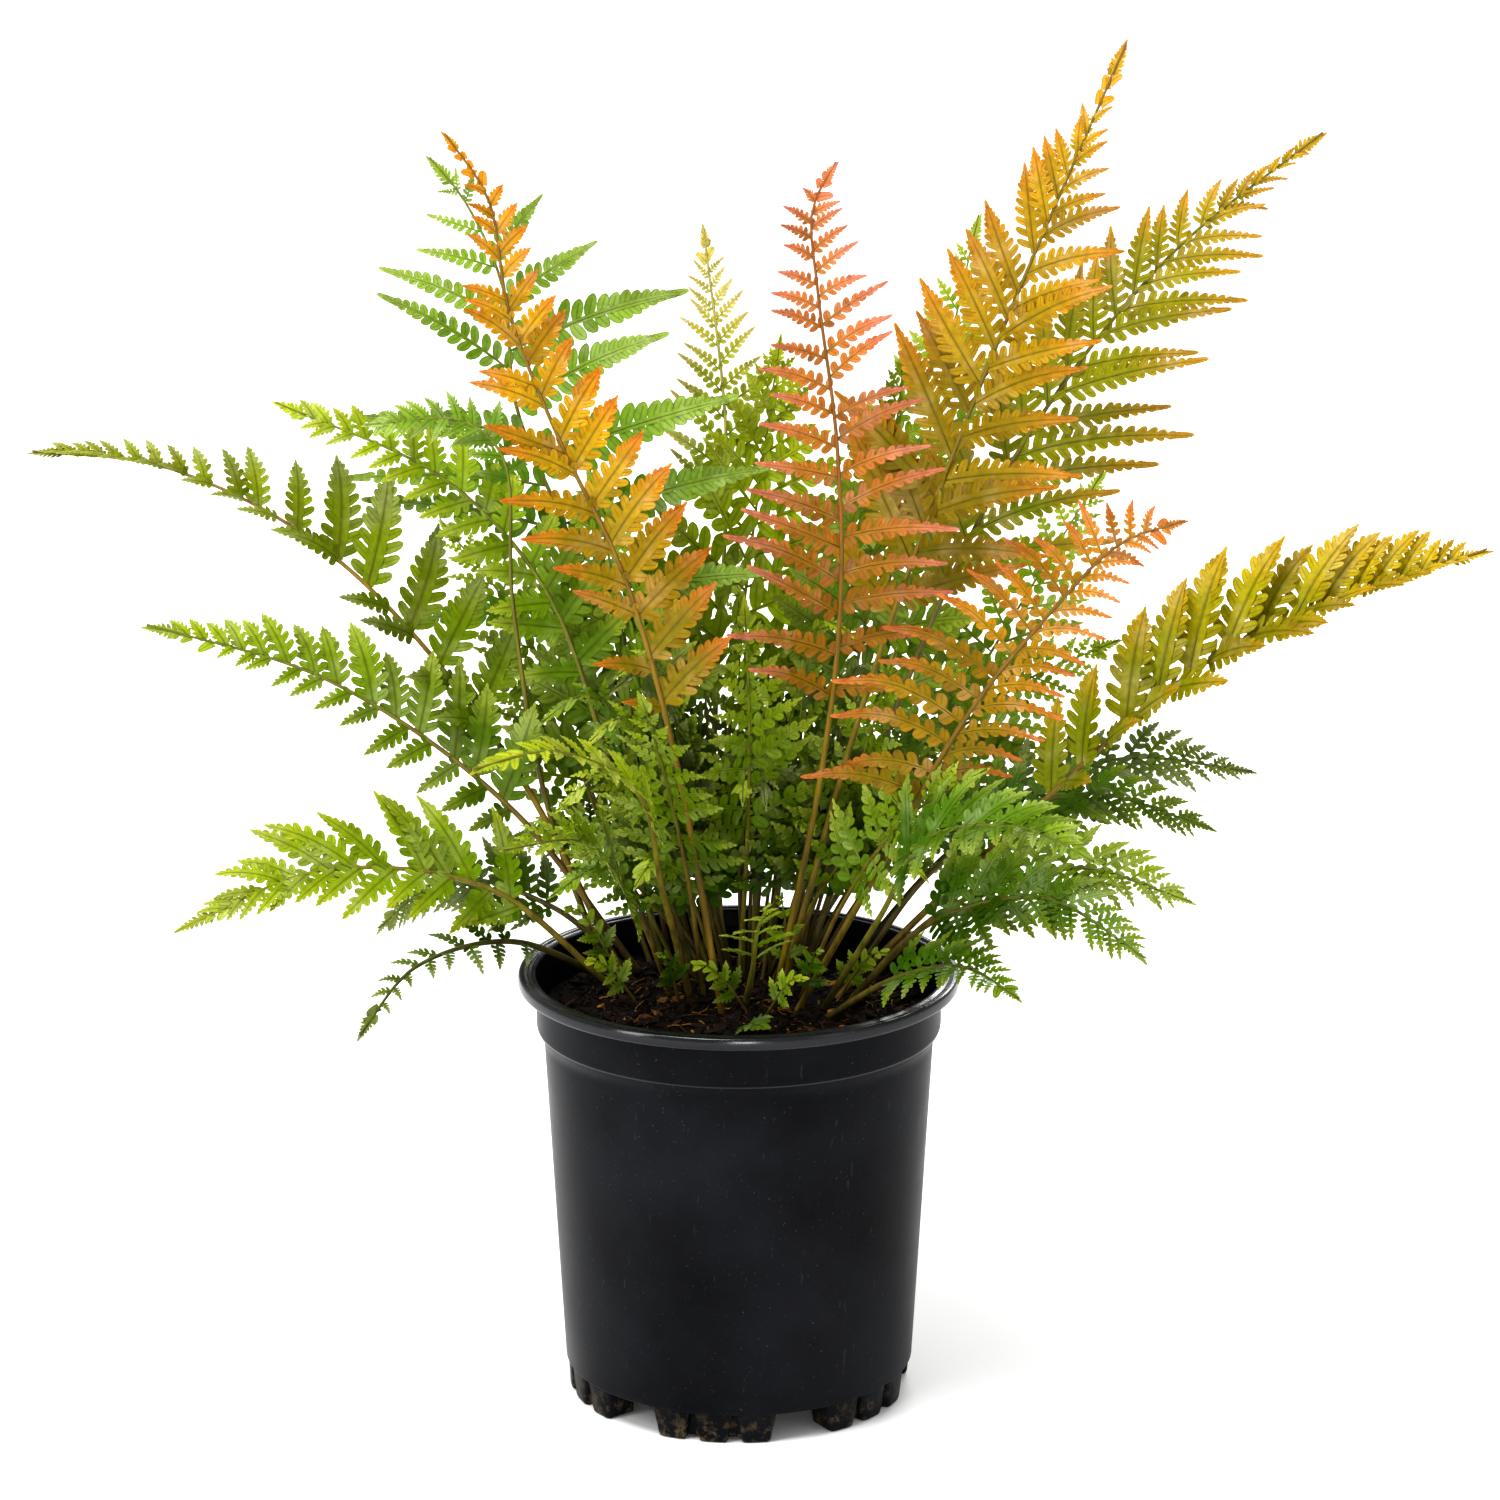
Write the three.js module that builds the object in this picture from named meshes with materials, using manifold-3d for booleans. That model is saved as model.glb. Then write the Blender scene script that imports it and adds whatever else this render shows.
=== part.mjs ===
// A potted fern: a black round nursery pot on ribbed feet, filled with bark mix, and a crown of
// long arching fronds in green, gold, orange and coral. Millimetres, +Z up. The origin is on the
// ground, on the pot's axis, and the front of the plant looks along -Y.
import * as THREE from 'three';
import { mergeVertices } from 'three/addons/utils/BufferGeometryUtils.js';
import Module from 'manifold-3d';

const wasm = await Module();
wasm.setup();
const { Manifold, Mesh: SolidMesh } = wasm;

// ---------------------------------------------------------------- driving dimensions

const POT = {
  sides: 40,
  height: 163.6,
  lipRadius: 82.5,
  lipHeight: 4.9,
  mouthRadius: 75.8,
  bevel: 0.7,
  ringWidth: 2.4, // the outer of the two rings on the lip's top face
  grooveWidth: 1.2, // from the outer ring to the bottom of the groove between them
  grooveDepth: 0.9,
  innerRing: 1.2,
  bandRadius: 75.7,
  bandBottom: 143,
  shoulderRadius: 72.9,
  shoulderHeight: 138.2,
  stepRadius: 65.7,
  stepHeight: 11.5,
  wall: 1.5,
  floor: 1.8,
};

const FEET = {
  count: 6,
  firstAngle: -8.5, // degrees from the front, towards +X
  lugs: 3,
  lugPitch: 14.4,
  lugTopWidth: 13.6,
  lugBottomWidth: 9.4,
  outerRadius: 65,
  innerRadius: 53,
  draft: 0.8, // how far a lug's outer face leans in at its foot
  overlap: 1, // how far a lug reaches up into the floor
  webRadius: 62.6,
  webBottom: 1.4,
  drainWidth: 11, // degrees of floor open between two feet
  drainInner: 50,
  drainOuter: 61,
};

const MIX = {
  sides: 20,
  gap: 0.3, // to the pot's wall and floor
  edgeHeight: 148.6,
  topHeight: 150.6,
  flatShare: 0.6, // share of the radius that lies at the top height
};

const FERN = {
  rootHeight: 150,
  rootDepth: 7,
  stalkRadius: 1.3,
  tipRadius: 0.5,
  stemRuns: 12,
  stalkRuns: 5, // of them, those below the blade
  bareShare: 0.03, // share of the stem between the last of those and the lowest pinnae
  holeClearance: 0.4,
  bladeKeel: 1.6, // depth of a pinna's rib below its face
  keelTaper: 0.45, // share of that depth lost by its tip
  longPinna: 24, // one longer than this has three leaflets a side, and not two
  widthRatio: 0.24, // half width of a pinna for its length
  pinnaTaper: 0.7, // power of the width's decrease to the tip: less is blunter
  lobeLean: 0.6, // where a leaflet's tip lies between the two cuts beside it
  footShare: 0.84, // length of the lowest pinnae for the longest ones
  bladeTaper: 0.75, // power of the pinnae's decrease to the tip of the blade
  crowding: 1.2, // power by which the pairs close up towards the tip
  tipPairs: 1.8, // the room, in pairs, that the end of the frond takes
  endStart: 0.2, // how far the end reaches back under the last pair, in pairs
  endRatio: 0.9, // half width of the end for the pinna length there
  endLean: 0.9,
  notchRatio: 0.2, // share of the width left at a cut between two leaflets
  leastNotch: 0.25,
  forwardCurve: 0.14,
  droop: 0.1,
  raised: 0.15, // how far both rows of pinnae stand up off the blade's plane
  angles: [70, 48], // degrees between the stem and its lowest and its highest pinnae
  alternate: 0.35, // step of one side's pinnae ahead of the other's
  clearance: 0.35, // kept to every other frond's leaves
  stemClearance: 0.8, // and to its stem, whose runs are straight
};

// A pinna that would cross another frond is raised or lowered off the blade's plane by one of these
// amounts, then shortened, and is left out where even that finds no room.
const LIFTS = [0, 0.2, -0.2, 0.4, -0.4, 0.6, -0.6];
const LENGTHS = [1, 0.8, 0.6];

// The widths that the end of a frond may have, the widest first.
const END_WIDTHS = [1, 0.8, 0.6, 0.4, 0.25];

const SHARED_VOLUME = 1e-6; // cubic millimetres that two solids may share and still count as clear

const PLASTIC = { color: 0x17191c, roughness: 0.45 };
const BARK_MIX = { color: 0x2a1c12, roughness: 0.95 };
const LEAF_ROUGHNESS = 0.6;

const GREEN = 0x4f8a1f;
const DARK = 0x35602a;
const BRIGHT = 0x8fb52a;
const OLIVE = 0x7d8f2c;
const GOLD = 0xb8901c;
const AMBER = 0xd98a20;
const CORAL = 0xd9673f;
const CREAM = 0xd0cf78;

// Each frond: the points that its stem passes through, from the mix to the tip; where the blade
// starts along the stem; its pairs of pinnae; the longest pinna; and the way its face looks.
// Where given, angles and raised are its own values of those in FERN, and sides are the shares of
// their length that its left and its right row of pinnae have.
const FRONDS = [
  { name: 'coral_centre', color: CORAL, start: 0.38, pairs: 9, longest: 46, face: [0.3, -1, 0.25],
    angles: [84, 62],
    path: [[13, -2], [31, -15, 248], [37, -26, 313], [35, -36, 373], [28, -46, 428], [26, -51, 458],
      [34, -55, 475]] },
  { name: 'orange_tall', color: AMBER, start: 0.34, pairs: 9, longest: 42, face: [0.3, -1, 0.2],
    angles: [76, 50],
    path: [[-6, -12], [-24, -13, 253], [-42, -14, 319], [-64, -14, 367], [-82, -14, 415],
      [-89, -15, 456], [-104, -15, 479]] },
  { name: 'gold_tall', color: GOLD, start: 0.41, pairs: 9, longest: 54, face: [-0.3, -1, 0.1],
    angles: [54, 42],
    path: [[15, 5], [50, 4, 278], [95, 2, 404], [138, 0, 509]] },
  { name: 'gold_right', color: GOLD, start: 0.42, pairs: 9, longest: 58, face: [0.25, -1, 0.2],
    angles: [52, 42], sides: [0.6, 1.15],
    path: [[23, 24], [61, 42, 258], [102, 58, 344], [160, 76, 418], [219, 90, 464]] },
  { name: 'orange_right', color: CORAL, start: 0.4, pairs: 8, longest: 52, face: [0, -1, 0.3],
    angles: [84, 60],
    path: [[22, -8], [55, -34, 220], [82, -59, 278], [109, -81, 320], [132, -98, 349],
      [153, -110, 360]] },
  { name: 'far_right', color: OLIVE, start: 0.38, pairs: 8, longest: 50, face: [0, -0.4, 0.9],
    angles: [56, 40], raised: 0.5,
    path: [[36, 5], [105, 1, 221], [178, -4, 287], [272, -10, 327]] },
  { name: 'left_arching', color: OLIVE, start: 0.33, pairs: 8, longest: 44, face: [0, -0.4, 0.9],
    angles: [60, 45], raised: 0.5,
    path: [[-42, 24], [-88, 42, 235], [-153, 66, 306], [-216, 85, 336], [-271, 100, 340]] },
  { name: 'left_mid', color: GREEN, start: 0.34, pairs: 7, longest: 36, face: [0, -0.8, 0.6],
    path: [[-38, 38], [-87, 35, 217], [-153, 30, 267], [-220, 25, 290]] },
  { name: 'left_low', color: BRIGHT, start: 0.28, pairs: 7, longest: 36, face: [0, -0.7, 0.7],
    path: [[-46, 15], [-93, 0, 195], [-153, -20, 208], [-203, -40, 192]] },
  { name: 'left_upper', color: BRIGHT, start: 0.42, pairs: 8, longest: 40, face: [0.1, -0.9, 0.4],
    path: [[-29, 48], [-50, 54, 231], [-74, 61, 296], [-111, 67, 336], [-175, 75, 364]] },
  { name: 'left_tall', color: GREEN, start: 0.42, pairs: 8, longest: 58, face: [-0.25, -1, 0.15],
    angles: [80, 50],
    path: [[-17, 53], [-44, 71, 243], [-63, 83, 305], [-85, 96, 358], [-90, 106, 402],
      [-104, 115, 433], [-118, 120, 450]] },
  { name: 'front_left', color: BRIGHT, start: 0.45, pairs: 6, longest: 34, face: [0, -0.5, 0.85],
    path: [[-18, 5], [-28, -29, 204], [-36, -57, 248], [-64, -92, 273], [-91, -125, 276]] },
  { name: 'front_right', color: GREEN, start: 0.45, pairs: 6, longest: 34, face: [0, -0.6, 0.8],
    path: [[31, -9], [51, -50, 199], [68, -83, 239], [99, -127, 255], [120, -165, 255]] },
  { name: 'left_drooping', color: DARK, start: 0.3, pairs: 5, longest: 22, face: [0, -0.6, 0.8],
    path: [[-49, 30], [-84, 4, 173], [-118, -36, 176], [-136, -75, 163]] },
  { name: 'left_shaded', color: DARK, start: 0.32, pairs: 5, longest: 26, face: [0, -0.7, 0.7],
    path: [[-43, 42], [-70, 46, 173], [-111, 53, 183], [-139, 60, 161]] },
  { name: 'cream_back', color: CREAM, start: 0.62, pairs: 5, longest: 36, face: [0.3, -1, 0.2],
    path: [[-13, 63], [-9, 90, 245], [-5, 121, 339], [-14, 150, 419]] },
  { name: 'right_shaded', color: DARK, start: 0.4, pairs: 5, longest: 34, face: [0, -0.6, 0.8],
    path: [[39, 36], [84, 46, 199], [141, 59, 228], [197, 70, 221]] },
  { name: 'right_mid', color: GREEN, start: 0.38, pairs: 5, longest: 34, face: [0, -0.6, 0.8],
    path: [[40, 18], [75, 17, 199], [127, 16, 227], [177, 15, 214]] },
  { name: 'right_low', color: GREEN, start: 0.36, pairs: 5, longest: 34, face: [0, -0.6, 0.8],
    path: [[42, 5], [77, -7, 189], [123, -23, 210], [165, -40, 202]] },
  { name: 'right_lower', color: GREEN, start: 0.36, pairs: 5, longest: 34, face: [0, -0.6, 0.8],
    path: [[39, -6], [70, -28, 190], [111, -56, 208], [145, -85, 195]] },
  { name: 'right_rim', color: GREEN, start: 0.34, pairs: 4, longest: 24, face: [0, -0.6, 0.8],
    path: [[32, -18], [56, -48, 175], [80, -83, 191], [98, -118, 191]] },
  { name: 'back_centre', color: GREEN, start: 0.42, pairs: 5, longest: 52, face: [0.5, -1, 0.2],
    path: [[-11, 59], [-4, 81, 231], [6, 108, 311], [16, 134, 378]] },
  { name: 'back_right', color: GREEN, start: 0.45, pairs: 5, longest: 50, face: [-0.5, -1, 0.2],
    path: [[16, 55], [45, 85, 246], [73, 119, 341], [93, 150, 423]] },
  { name: 'inner_right', color: GREEN, start: 0.4, pairs: 5, longest: 46, face: [0.6, -1, 0.2],
    path: [[14, 49], [37, 57, 231], [54, 66, 315], [63, 75, 387]] },
  { name: 'back_left', color: GREEN, start: 0.4, pairs: 5, longest: 44, face: [0.5, -0.8, 0.4],
    path: [[-30, 55], [-57, 90, 206], [-84, 126, 262], [-119, 160, 300]] },
  { name: 'back_far_right', color: GREEN, start: 0.42, pairs: 5, longest: 48, face: [-0.5, -0.8, 0.3],
    path: [[26, 52], [67, 89, 211], [109, 129, 270], [145, 165, 319]] },
  { name: 'inner_left', color: DARK, start: 0.4, pairs: 5, longest: 44, face: [-0.6, -1, 0.2],
    path: [[-27, 58], [-38, 59, 218], [-45, 60, 284], [-56, 60, 342]] },
  { name: 'right_inner', color: GREEN, start: 0.4, pairs: 5, longest: 40, face: [0, -0.8, 0.6],
    path: [[31, 42], [63, 63, 202], [102, 88, 246], [148, 110, 263]] },
  { name: 'front_left_low', color: GREEN, start: 0.4, pairs: 4, longest: 30, face: [0, -0.6, 0.8],
    path: [[-25, 5], [-37, -29, 194], [-55, -66, 232], [-82, -105, 241]] },
  { name: 'front_mid', color: BRIGHT, start: 0.4, pairs: 4, longest: 34, face: [-0.4, -0.9, 0.4],
    path: [[-13, 5], [-18, -15, 199], [-26, -39, 247], [-35, -60, 287]] },
  { name: 'front_right_mid', color: GREEN, start: 0.4, pairs: 4, longest: 34, face: [0, -0.7, 0.7],
    path: [[23, 5], [39, -19, 196], [61, -47, 236], [88, -75, 262]] },
  { name: 'left_inner', color: DARK, start: 0.4, pairs: 4, longest: 36, face: [0, -0.8, 0.6],
    path: [[-34, 49], [-50, 63, 193], [-68, 79, 233], [-93, 95, 261]] },
  { name: 'centre', color: GREEN, start: 0.4, pairs: 4, longest: 38, face: [0.5, -0.8, 0.2],
    path: [[0, 24], [3, 10, 207], [4, -6, 263], [2, -20, 311]] },
  { name: 'centre_right', color: GREEN, start: 0.4, pairs: 4, longest: 36, face: [-0.6, -0.8, 0.3],
    path: [[17, 24], [33, 19, 197], [47, 14, 244], [58, 10, 284]] },
  { name: 'crown_young', color: BRIGHT, start: 0.45, pairs: 3, longest: 18, face: [0, -0.6, 0.8],
    path: [[2, -7], [5, -39, 175], [7, -71, 201], [11, -100, 220]] },
  { name: 'back_low_left', color: GREEN, start: 0.4, pairs: 4, longest: 38, face: [0, 0.4, 0.9],
    path: [[-21, 46], [-34, 88, 189], [-54, 130, 222], [-72, 166, 248]] },
  { name: 'back_low_middle', color: GREEN, start: 0.42, pairs: 4, longest: 40, face: [0, 0.4, 0.9],
    path: [[9, 45], [20, 87, 195], [30, 132, 234], [34, 169, 267]] },
  { name: 'back_low_right', color: DARK, start: 0.4, pairs: 4, longest: 38, face: [0, 0.4, 0.9],
    path: [[20, 49], [51, 88, 187], [76, 130, 221], [99, 166, 248]] },
];

// ---------------------------------------------------------------- solids and meshes

// A closed geometry becomes a solid: shared corners are merged and flat slivers dropped.
function toSolid(geometry) {
  geometry.deleteAttribute('normal');
  geometry.deleteAttribute('uv');
  const merged = mergeVertices(geometry);
  const index = merged.index.array;
  const kept = [];
  for (let i = 0; i < index.length; i += 3) {
    const [a, b, c] = [index[i], index[i + 1], index[i + 2]];
    if (a !== b && b !== c && a !== c) kept.push(a, b, c);
  }
  return new Manifold(new SolidMesh({
    numProp: 3,
    vertProperties: new Float32Array(merged.attributes.position.array),
    triVerts: new Uint32Array(kept),
  }));
}

// Corners and faces listed by hand become a solid. Faces run anticlockwise seen from outside.
function solidFrom(corners, faces) {
  const geometry = new THREE.BufferGeometry();
  geometry.setAttribute('position', new THREE.Float32BufferAttribute(corners.flat(), 3));
  geometry.setIndex(faces.flat());
  return toSolid(geometry);
}

function toMesh(name, solid, { color, roughness }) {
  const { vertProperties, triVerts } = solid.getMesh();
  const geometry = new THREE.BufferGeometry();
  geometry.setAttribute('position', new THREE.BufferAttribute(new Float32Array(vertProperties), 3));
  geometry.setIndex(new THREE.BufferAttribute(new Uint32Array(triVerts), 1));
  geometry.computeVertexNormals();
  const material = new THREE.MeshStandardMaterial({ color, roughness, metalness: 0 });
  const mesh = new THREE.Mesh(geometry, material);
  mesh.name = name;
  return mesh;
}

// A profile of [radius, height] pairs turned about the Z axis.
function turned(profile, sides) {
  const points = profile.map(([radius, height]) => new THREE.Vector2(radius, height));
  return toSolid(new THREE.LatheGeometry(points, sides).rotateX(Math.PI / 2));
}

// A point at an angle in degrees from the front, towards +X.
function around(degrees, radius, height) {
  const angle = THREE.MathUtils.degToRad(degrees);
  return [radius * Math.sin(angle), -radius * Math.cos(angle), height];
}

// A block between two angles and two radii; its angles and outer radius may differ top and bottom.
function wedge({ middle, topWidth, bottomWidth, inner, outerTop, outerBottom, bottom, top }) {
  const corners = [];
  for (const [width, outer, height] of [[bottomWidth, outerBottom, bottom], [topWidth, outerTop, top]]) {
    for (const [side, radius] of [[-1, inner], [1, inner], [1, outer], [-1, outer]]) {
      corners.push(around(middle + side * width / 2, radius, height));
    }
  }
  return solidFrom(corners, [
    [0, 1, 2], [0, 2, 3], [4, 6, 5], [4, 7, 6], [0, 5, 1], [0, 4, 5],
    [1, 6, 2], [1, 5, 6], [2, 7, 3], [2, 6, 7], [3, 4, 0], [3, 7, 4],
  ]);
}

// ---------------------------------------------------------------- pot

// The inner side of the wall, from the floor up to the mouth.
function potInside() {
  const { wall, floor, stepHeight, stepRadius, shoulderRadius, shoulderHeight, bandRadius } = POT;
  return [
    [stepRadius - wall, stepHeight + floor],
    [shoulderRadius - wall, shoulderHeight],
    [bandRadius - wall, POT.bandBottom + wall],
    [bandRadius - wall, POT.height - POT.lipHeight - wall],
    [POT.mouthRadius, POT.height - POT.bevel],
  ];
}

function potShell() {
  const { height, lipRadius, lipHeight, bevel, ringWidth, bandRadius } = POT;
  const lipBottom = height - lipHeight;
  const outside = [
    [0, POT.stepHeight],
    [POT.stepRadius, POT.stepHeight],
    [POT.shoulderRadius, POT.shoulderHeight],
    [bandRadius, POT.bandBottom],
    [bandRadius, lipBottom],
    [lipRadius - bevel, lipBottom],
    [lipRadius, lipBottom + bevel],
    [lipRadius, height - bevel],
    [lipRadius - bevel, height],
    [lipRadius - ringWidth, height],
    [lipRadius - ringWidth - POT.grooveWidth, height - POT.grooveDepth],
    [POT.mouthRadius + POT.innerRing, height],
  ];
  const inside = potInside().reverse();
  return turned([...outside, ...inside, [0, POT.stepHeight + POT.floor]], POT.sides);
}

// One foot: lugs that narrow downwards, standing out of a web that joins them.
function foot(middle) {
  const top = POT.stepHeight + FEET.overlap;
  const lugs = [];
  for (let i = 0; i < FEET.lugs; i++) {
    const offset = i - (FEET.lugs - 1) / 2;
    lugs.push(wedge({
      middle: middle + offset * FEET.lugPitch,
      topWidth: FEET.lugTopWidth,
      bottomWidth: FEET.lugBottomWidth,
      inner: FEET.innerRadius,
      outerTop: FEET.outerRadius,
      outerBottom: FEET.outerRadius - FEET.draft,
      bottom: 0,
      top,
    }));
  }
  for (let i = 0; i < FEET.lugs - 1; i++) {
    const offset = i + 1 - FEET.lugs / 2;
    lugs.push(wedge({
      middle: middle + offset * FEET.lugPitch,
      topWidth: FEET.lugPitch / 2,
      bottomWidth: FEET.lugPitch / 2,
      inner: FEET.innerRadius + FEET.draft,
      outerTop: FEET.webRadius,
      outerBottom: FEET.webRadius,
      bottom: FEET.webBottom,
      top: top - FEET.overlap / 2,
    }));
  }
  return Manifold.union(lugs);
}

function drainHole(middle) {
  return wedge({
    middle,
    topWidth: FEET.drainWidth,
    bottomWidth: FEET.drainWidth,
    inner: FEET.drainInner,
    outerTop: FEET.drainOuter,
    outerBottom: FEET.drainOuter,
    bottom: POT.stepHeight - POT.floor,
    top: POT.stepHeight + POT.floor * 2,
  });
}

function pot() {
  const pitch = 360 / FEET.count;
  const feet = [];
  const holes = [];
  for (let i = 0; i < FEET.count; i++) {
    feet.push(foot(FEET.firstAngle + i * pitch));
    holes.push(drainHole(FEET.firstAngle + (i + 0.5) * pitch));
  }
  return potShell().add(Manifold.union(feet)).subtract(Manifold.union(holes));
}

// ---------------------------------------------------------------- potting mix

function mixBody() {
  const inside = potInside().slice(0, 3);
  const [bottom, shoulder, band] = inside.map(([radius, height]) => [radius - MIX.gap, height]);
  return turned([
    [0, bottom[1] + MIX.gap],
    [bottom[0], bottom[1] + MIX.gap],
    shoulder,
    [band[0], band[1] + MIX.gap],
    [band[0], MIX.edgeHeight],
    [band[0] * MIX.flatShare, MIX.topHeight],
    [0, MIX.topHeight],
  ], MIX.sides);
}

// ---------------------------------------------------------------- fronds

// A frond's stem as a smooth curve, with its direction, the way its face looks and its radius.
function stemLine(frond) {
  const points = frond.path.map(([x, y, z = FERN.rootHeight]) => new THREE.Vector3(x, y, z));
  const curve = new THREE.CatmullRomCurve3(points, false, 'centripetal');
  const face = new THREE.Vector3(...frond.face).normalize();
  return {
    length: curve.getLength(),
    at: (u) => curve.getPointAt(THREE.MathUtils.clamp(u, 0, 1)),
    radius: (u) => THREE.MathUtils.lerp(FERN.stalkRadius, FERN.tipRadius, u),
    frame(u) {
      const along = curve.getTangentAt(THREE.MathUtils.clamp(u, 0, 1));
      const up = face.clone().addScaledVector(along, -face.dot(along)).normalize();
      return { along, up, across: along.clone().cross(up) };
    },
  };
}

// The three corners of a stem's section, evenly round it: two upper edges and the keel under them.
function stemSection(centre, { up, across }, radius) {
  const corner = (degrees) => {
    const angle = THREE.MathUtils.degToRad(degrees);
    return centre.clone()
      .addScaledVector(across, Math.sin(angle) * radius)
      .addScaledVector(up, Math.cos(angle) * radius);
  };
  return { right: corner(60), left: corner(-60), keel: corner(180) };
}

function sectionAt(line, u, grow = 0) {
  return stemSection(line.at(u), line.frame(u), line.radius(u) + grow);
}

// The buried start of a stalk, some way below the surface of the mix.
function buriedSection(line, depth, grow = 0) {
  const frame = line.frame(0);
  const centre = line.at(0).addScaledVector(frame.along, -depth);
  return stemSection(centre, frame, line.radius(0) + grow);
}

// Corners and faces of one body under construction. A corner that is given twice is shared.
function newBody() {
  const corners = [];
  const faces = [];
  const known = new Map();
  return {
    corners,
    faces,
    corner(vector) {
      const key = vector.toArray().map((value) => value.toFixed(4)).join();
      if (!known.has(key)) {
        known.set(key, corners.length);
        corners.push(vector.toArray());
      }
      return known.get(key);
    },
    solid() {
      return solidFrom(corners, faces);
    },
  };
}

// Faces between two lines of corners, each listed as { u, corner } from the root to the tip.
function zip(body, first, second) {
  let [i, j] = [0, 0];
  while (i < first.length - 1 || j < second.length - 1) {
    const stepFirst = j === second.length - 1
      || (i < first.length - 1 && first[i + 1].u <= second[j + 1].u);
    if (stepFirst) {
      body.faces.push([first[i].corner, second[j].corner, first[i + 1].corner]);
      i++;
    } else {
      body.faces.push([first[i].corner, second[j].corner, second[j + 1].corner]);
      j++;
    }
  }
}

// A plain three-sided bar through a list of sections.
function bar(sections) {
  const body = newBody();
  const lines = { right: [], left: [], keel: [] };
  sections.forEach((section, u) => {
    for (const edge of Object.keys(lines)) {
      lines[edge].push({ u, corner: body.corner(section[edge]) });
    }
  });
  zip(body, lines.left, lines.right);
  zip(body, lines.right, lines.keel);
  zip(body, lines.keel, lines.left);
  const [first, last] = [0, sections.length - 1];
  body.faces.push([lines.left[first].corner, lines.keel[first].corner, lines.right[first].corner]);
  body.faces.push([lines.left[last].corner, lines.right[last].corner, lines.keel[last].corner]);
  return body.solid();
}

// A stem without its leaves, thicker by its clearance: what other fronds' leaves keep clear of.
function stemBar(line) {
  const sections = [buriedSection(line, FERN.rootDepth, FERN.stemClearance)];
  for (let i = 1; i < FERN.stemRuns; i++) {
    sections.push(sectionAt(line, i / FERN.stemRuns, FERN.stemClearance));
  }
  return bar(sections);
}

// The plain hole that a stalk stands in: as the stalk, but wider and deeper by the clearance.
function stalkHole(line) {
  const grow = FERN.holeClearance * 2;
  const above = FERN.rootDepth * 1.5 / line.length;
  return bar([
    buriedSection(line, FERN.rootDepth + FERN.holeClearance, grow),
    buriedSection(line, 0, grow),
    sectionAt(line, above, grow),
  ]);
}

// One thin blade cut into leaflets down to its rib, added to a body. It grows from a base of three
// corners. place(x) gives its rib, its face and the direction across it, from 0 at the base to 1
// at the tip.
function cutBlade(body, { base, place, lobes, halfWidth, lean, grow }) {
  const add = (vector) => body.corner(vector);
  const face = (...corners) => body.faces.push(corners);
  const station = (x) => {
    const { rib, up, across } = place(x);
    const notch = halfWidth(x) * FERN.notchRatio + FERN.leastNotch + grow;
    const depth = FERN.bladeKeel * (1 - FERN.keelTaper * x) + grow;
    const top = rib.clone().addScaledVector(up, grow);
    return {
      right: add(top.clone().addScaledVector(across, notch)),
      left: add(top.clone().addScaledVector(across, -notch)),
      keel: add(rib.clone().addScaledVector(up, -depth)),
    };
  };
  const lobeTip = (x, width, side) => {
    const { rib, up, across } = place(x);
    return add(rib.clone().addScaledVector(across, side * (width + grow)).addScaledVector(up, grow));
  };
  let near = { right: add(base.right), left: add(base.left), keel: add(base.keel) };
  for (let k = 0; k < lobes; k++) {
    const [from, to] = [k / lobes, (k + 1) / lobes];
    const x = from + (to - from) * lean;
    const width = halfWidth(x);
    const rightTip = lobeTip(x, width, 1);
    const leftTip = lobeTip(x, width, -1);
    if (k < lobes - 1) {
      const far = station(to);
      face(near.left, near.right, far.right);
      face(near.left, far.right, far.left);
      face(near.right, rightTip, far.right);
      face(near.left, far.left, leftTip);
      face(near.right, near.keel, rightTip);
      face(near.keel, far.keel, rightTip);
      face(far.keel, far.right, rightTip);
      face(near.left, leftTip, near.keel);
      face(near.keel, leftTip, far.keel);
      face(far.keel, leftTip, far.left);
      near = far;
    } else {
      const end = add(place(1).rib);
      face(near.left, near.right, end);
      face(near.right, rightTip, end);
      face(near.left, end, leftTip);
      face(near.right, near.keel, rightTip);
      face(near.keel, end, rightTip);
      face(near.left, leftTip, near.keel);
      face(near.keel, leftTip, end);
    }
  }
}

// A blade closed at its base, as a solid of its own: what a new leaf is tested with.
function closedBlade(blade) {
  const body = newBody();
  const { right, left, keel } = blade.base;
  cutBlade(body, blade);
  body.faces.push([body.corner(left), body.corner(keel), body.corner(right)]);
  return body.solid();
}

// Pinnae are longest near the foot of the blade and shorten steadily to its tip.
function pinnaLength(frond, v) {
  return frond.longest * Math.min(1, FERN.footShare + v) * (1 - v) ** FERN.bladeTaper;
}

// Where pair j of a blade sits along it, closer together towards the tip.
function pairPlace(frond, j) {
  return 1 - (1 - j / (frond.pairs + FERN.tipPairs)) ** FERN.crowding;
}

// The place along the whole stem of a place along the blade.
function onStem(frond, v) {
  return THREE.MathUtils.lerp(frond.start, 1, v);
}

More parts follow.
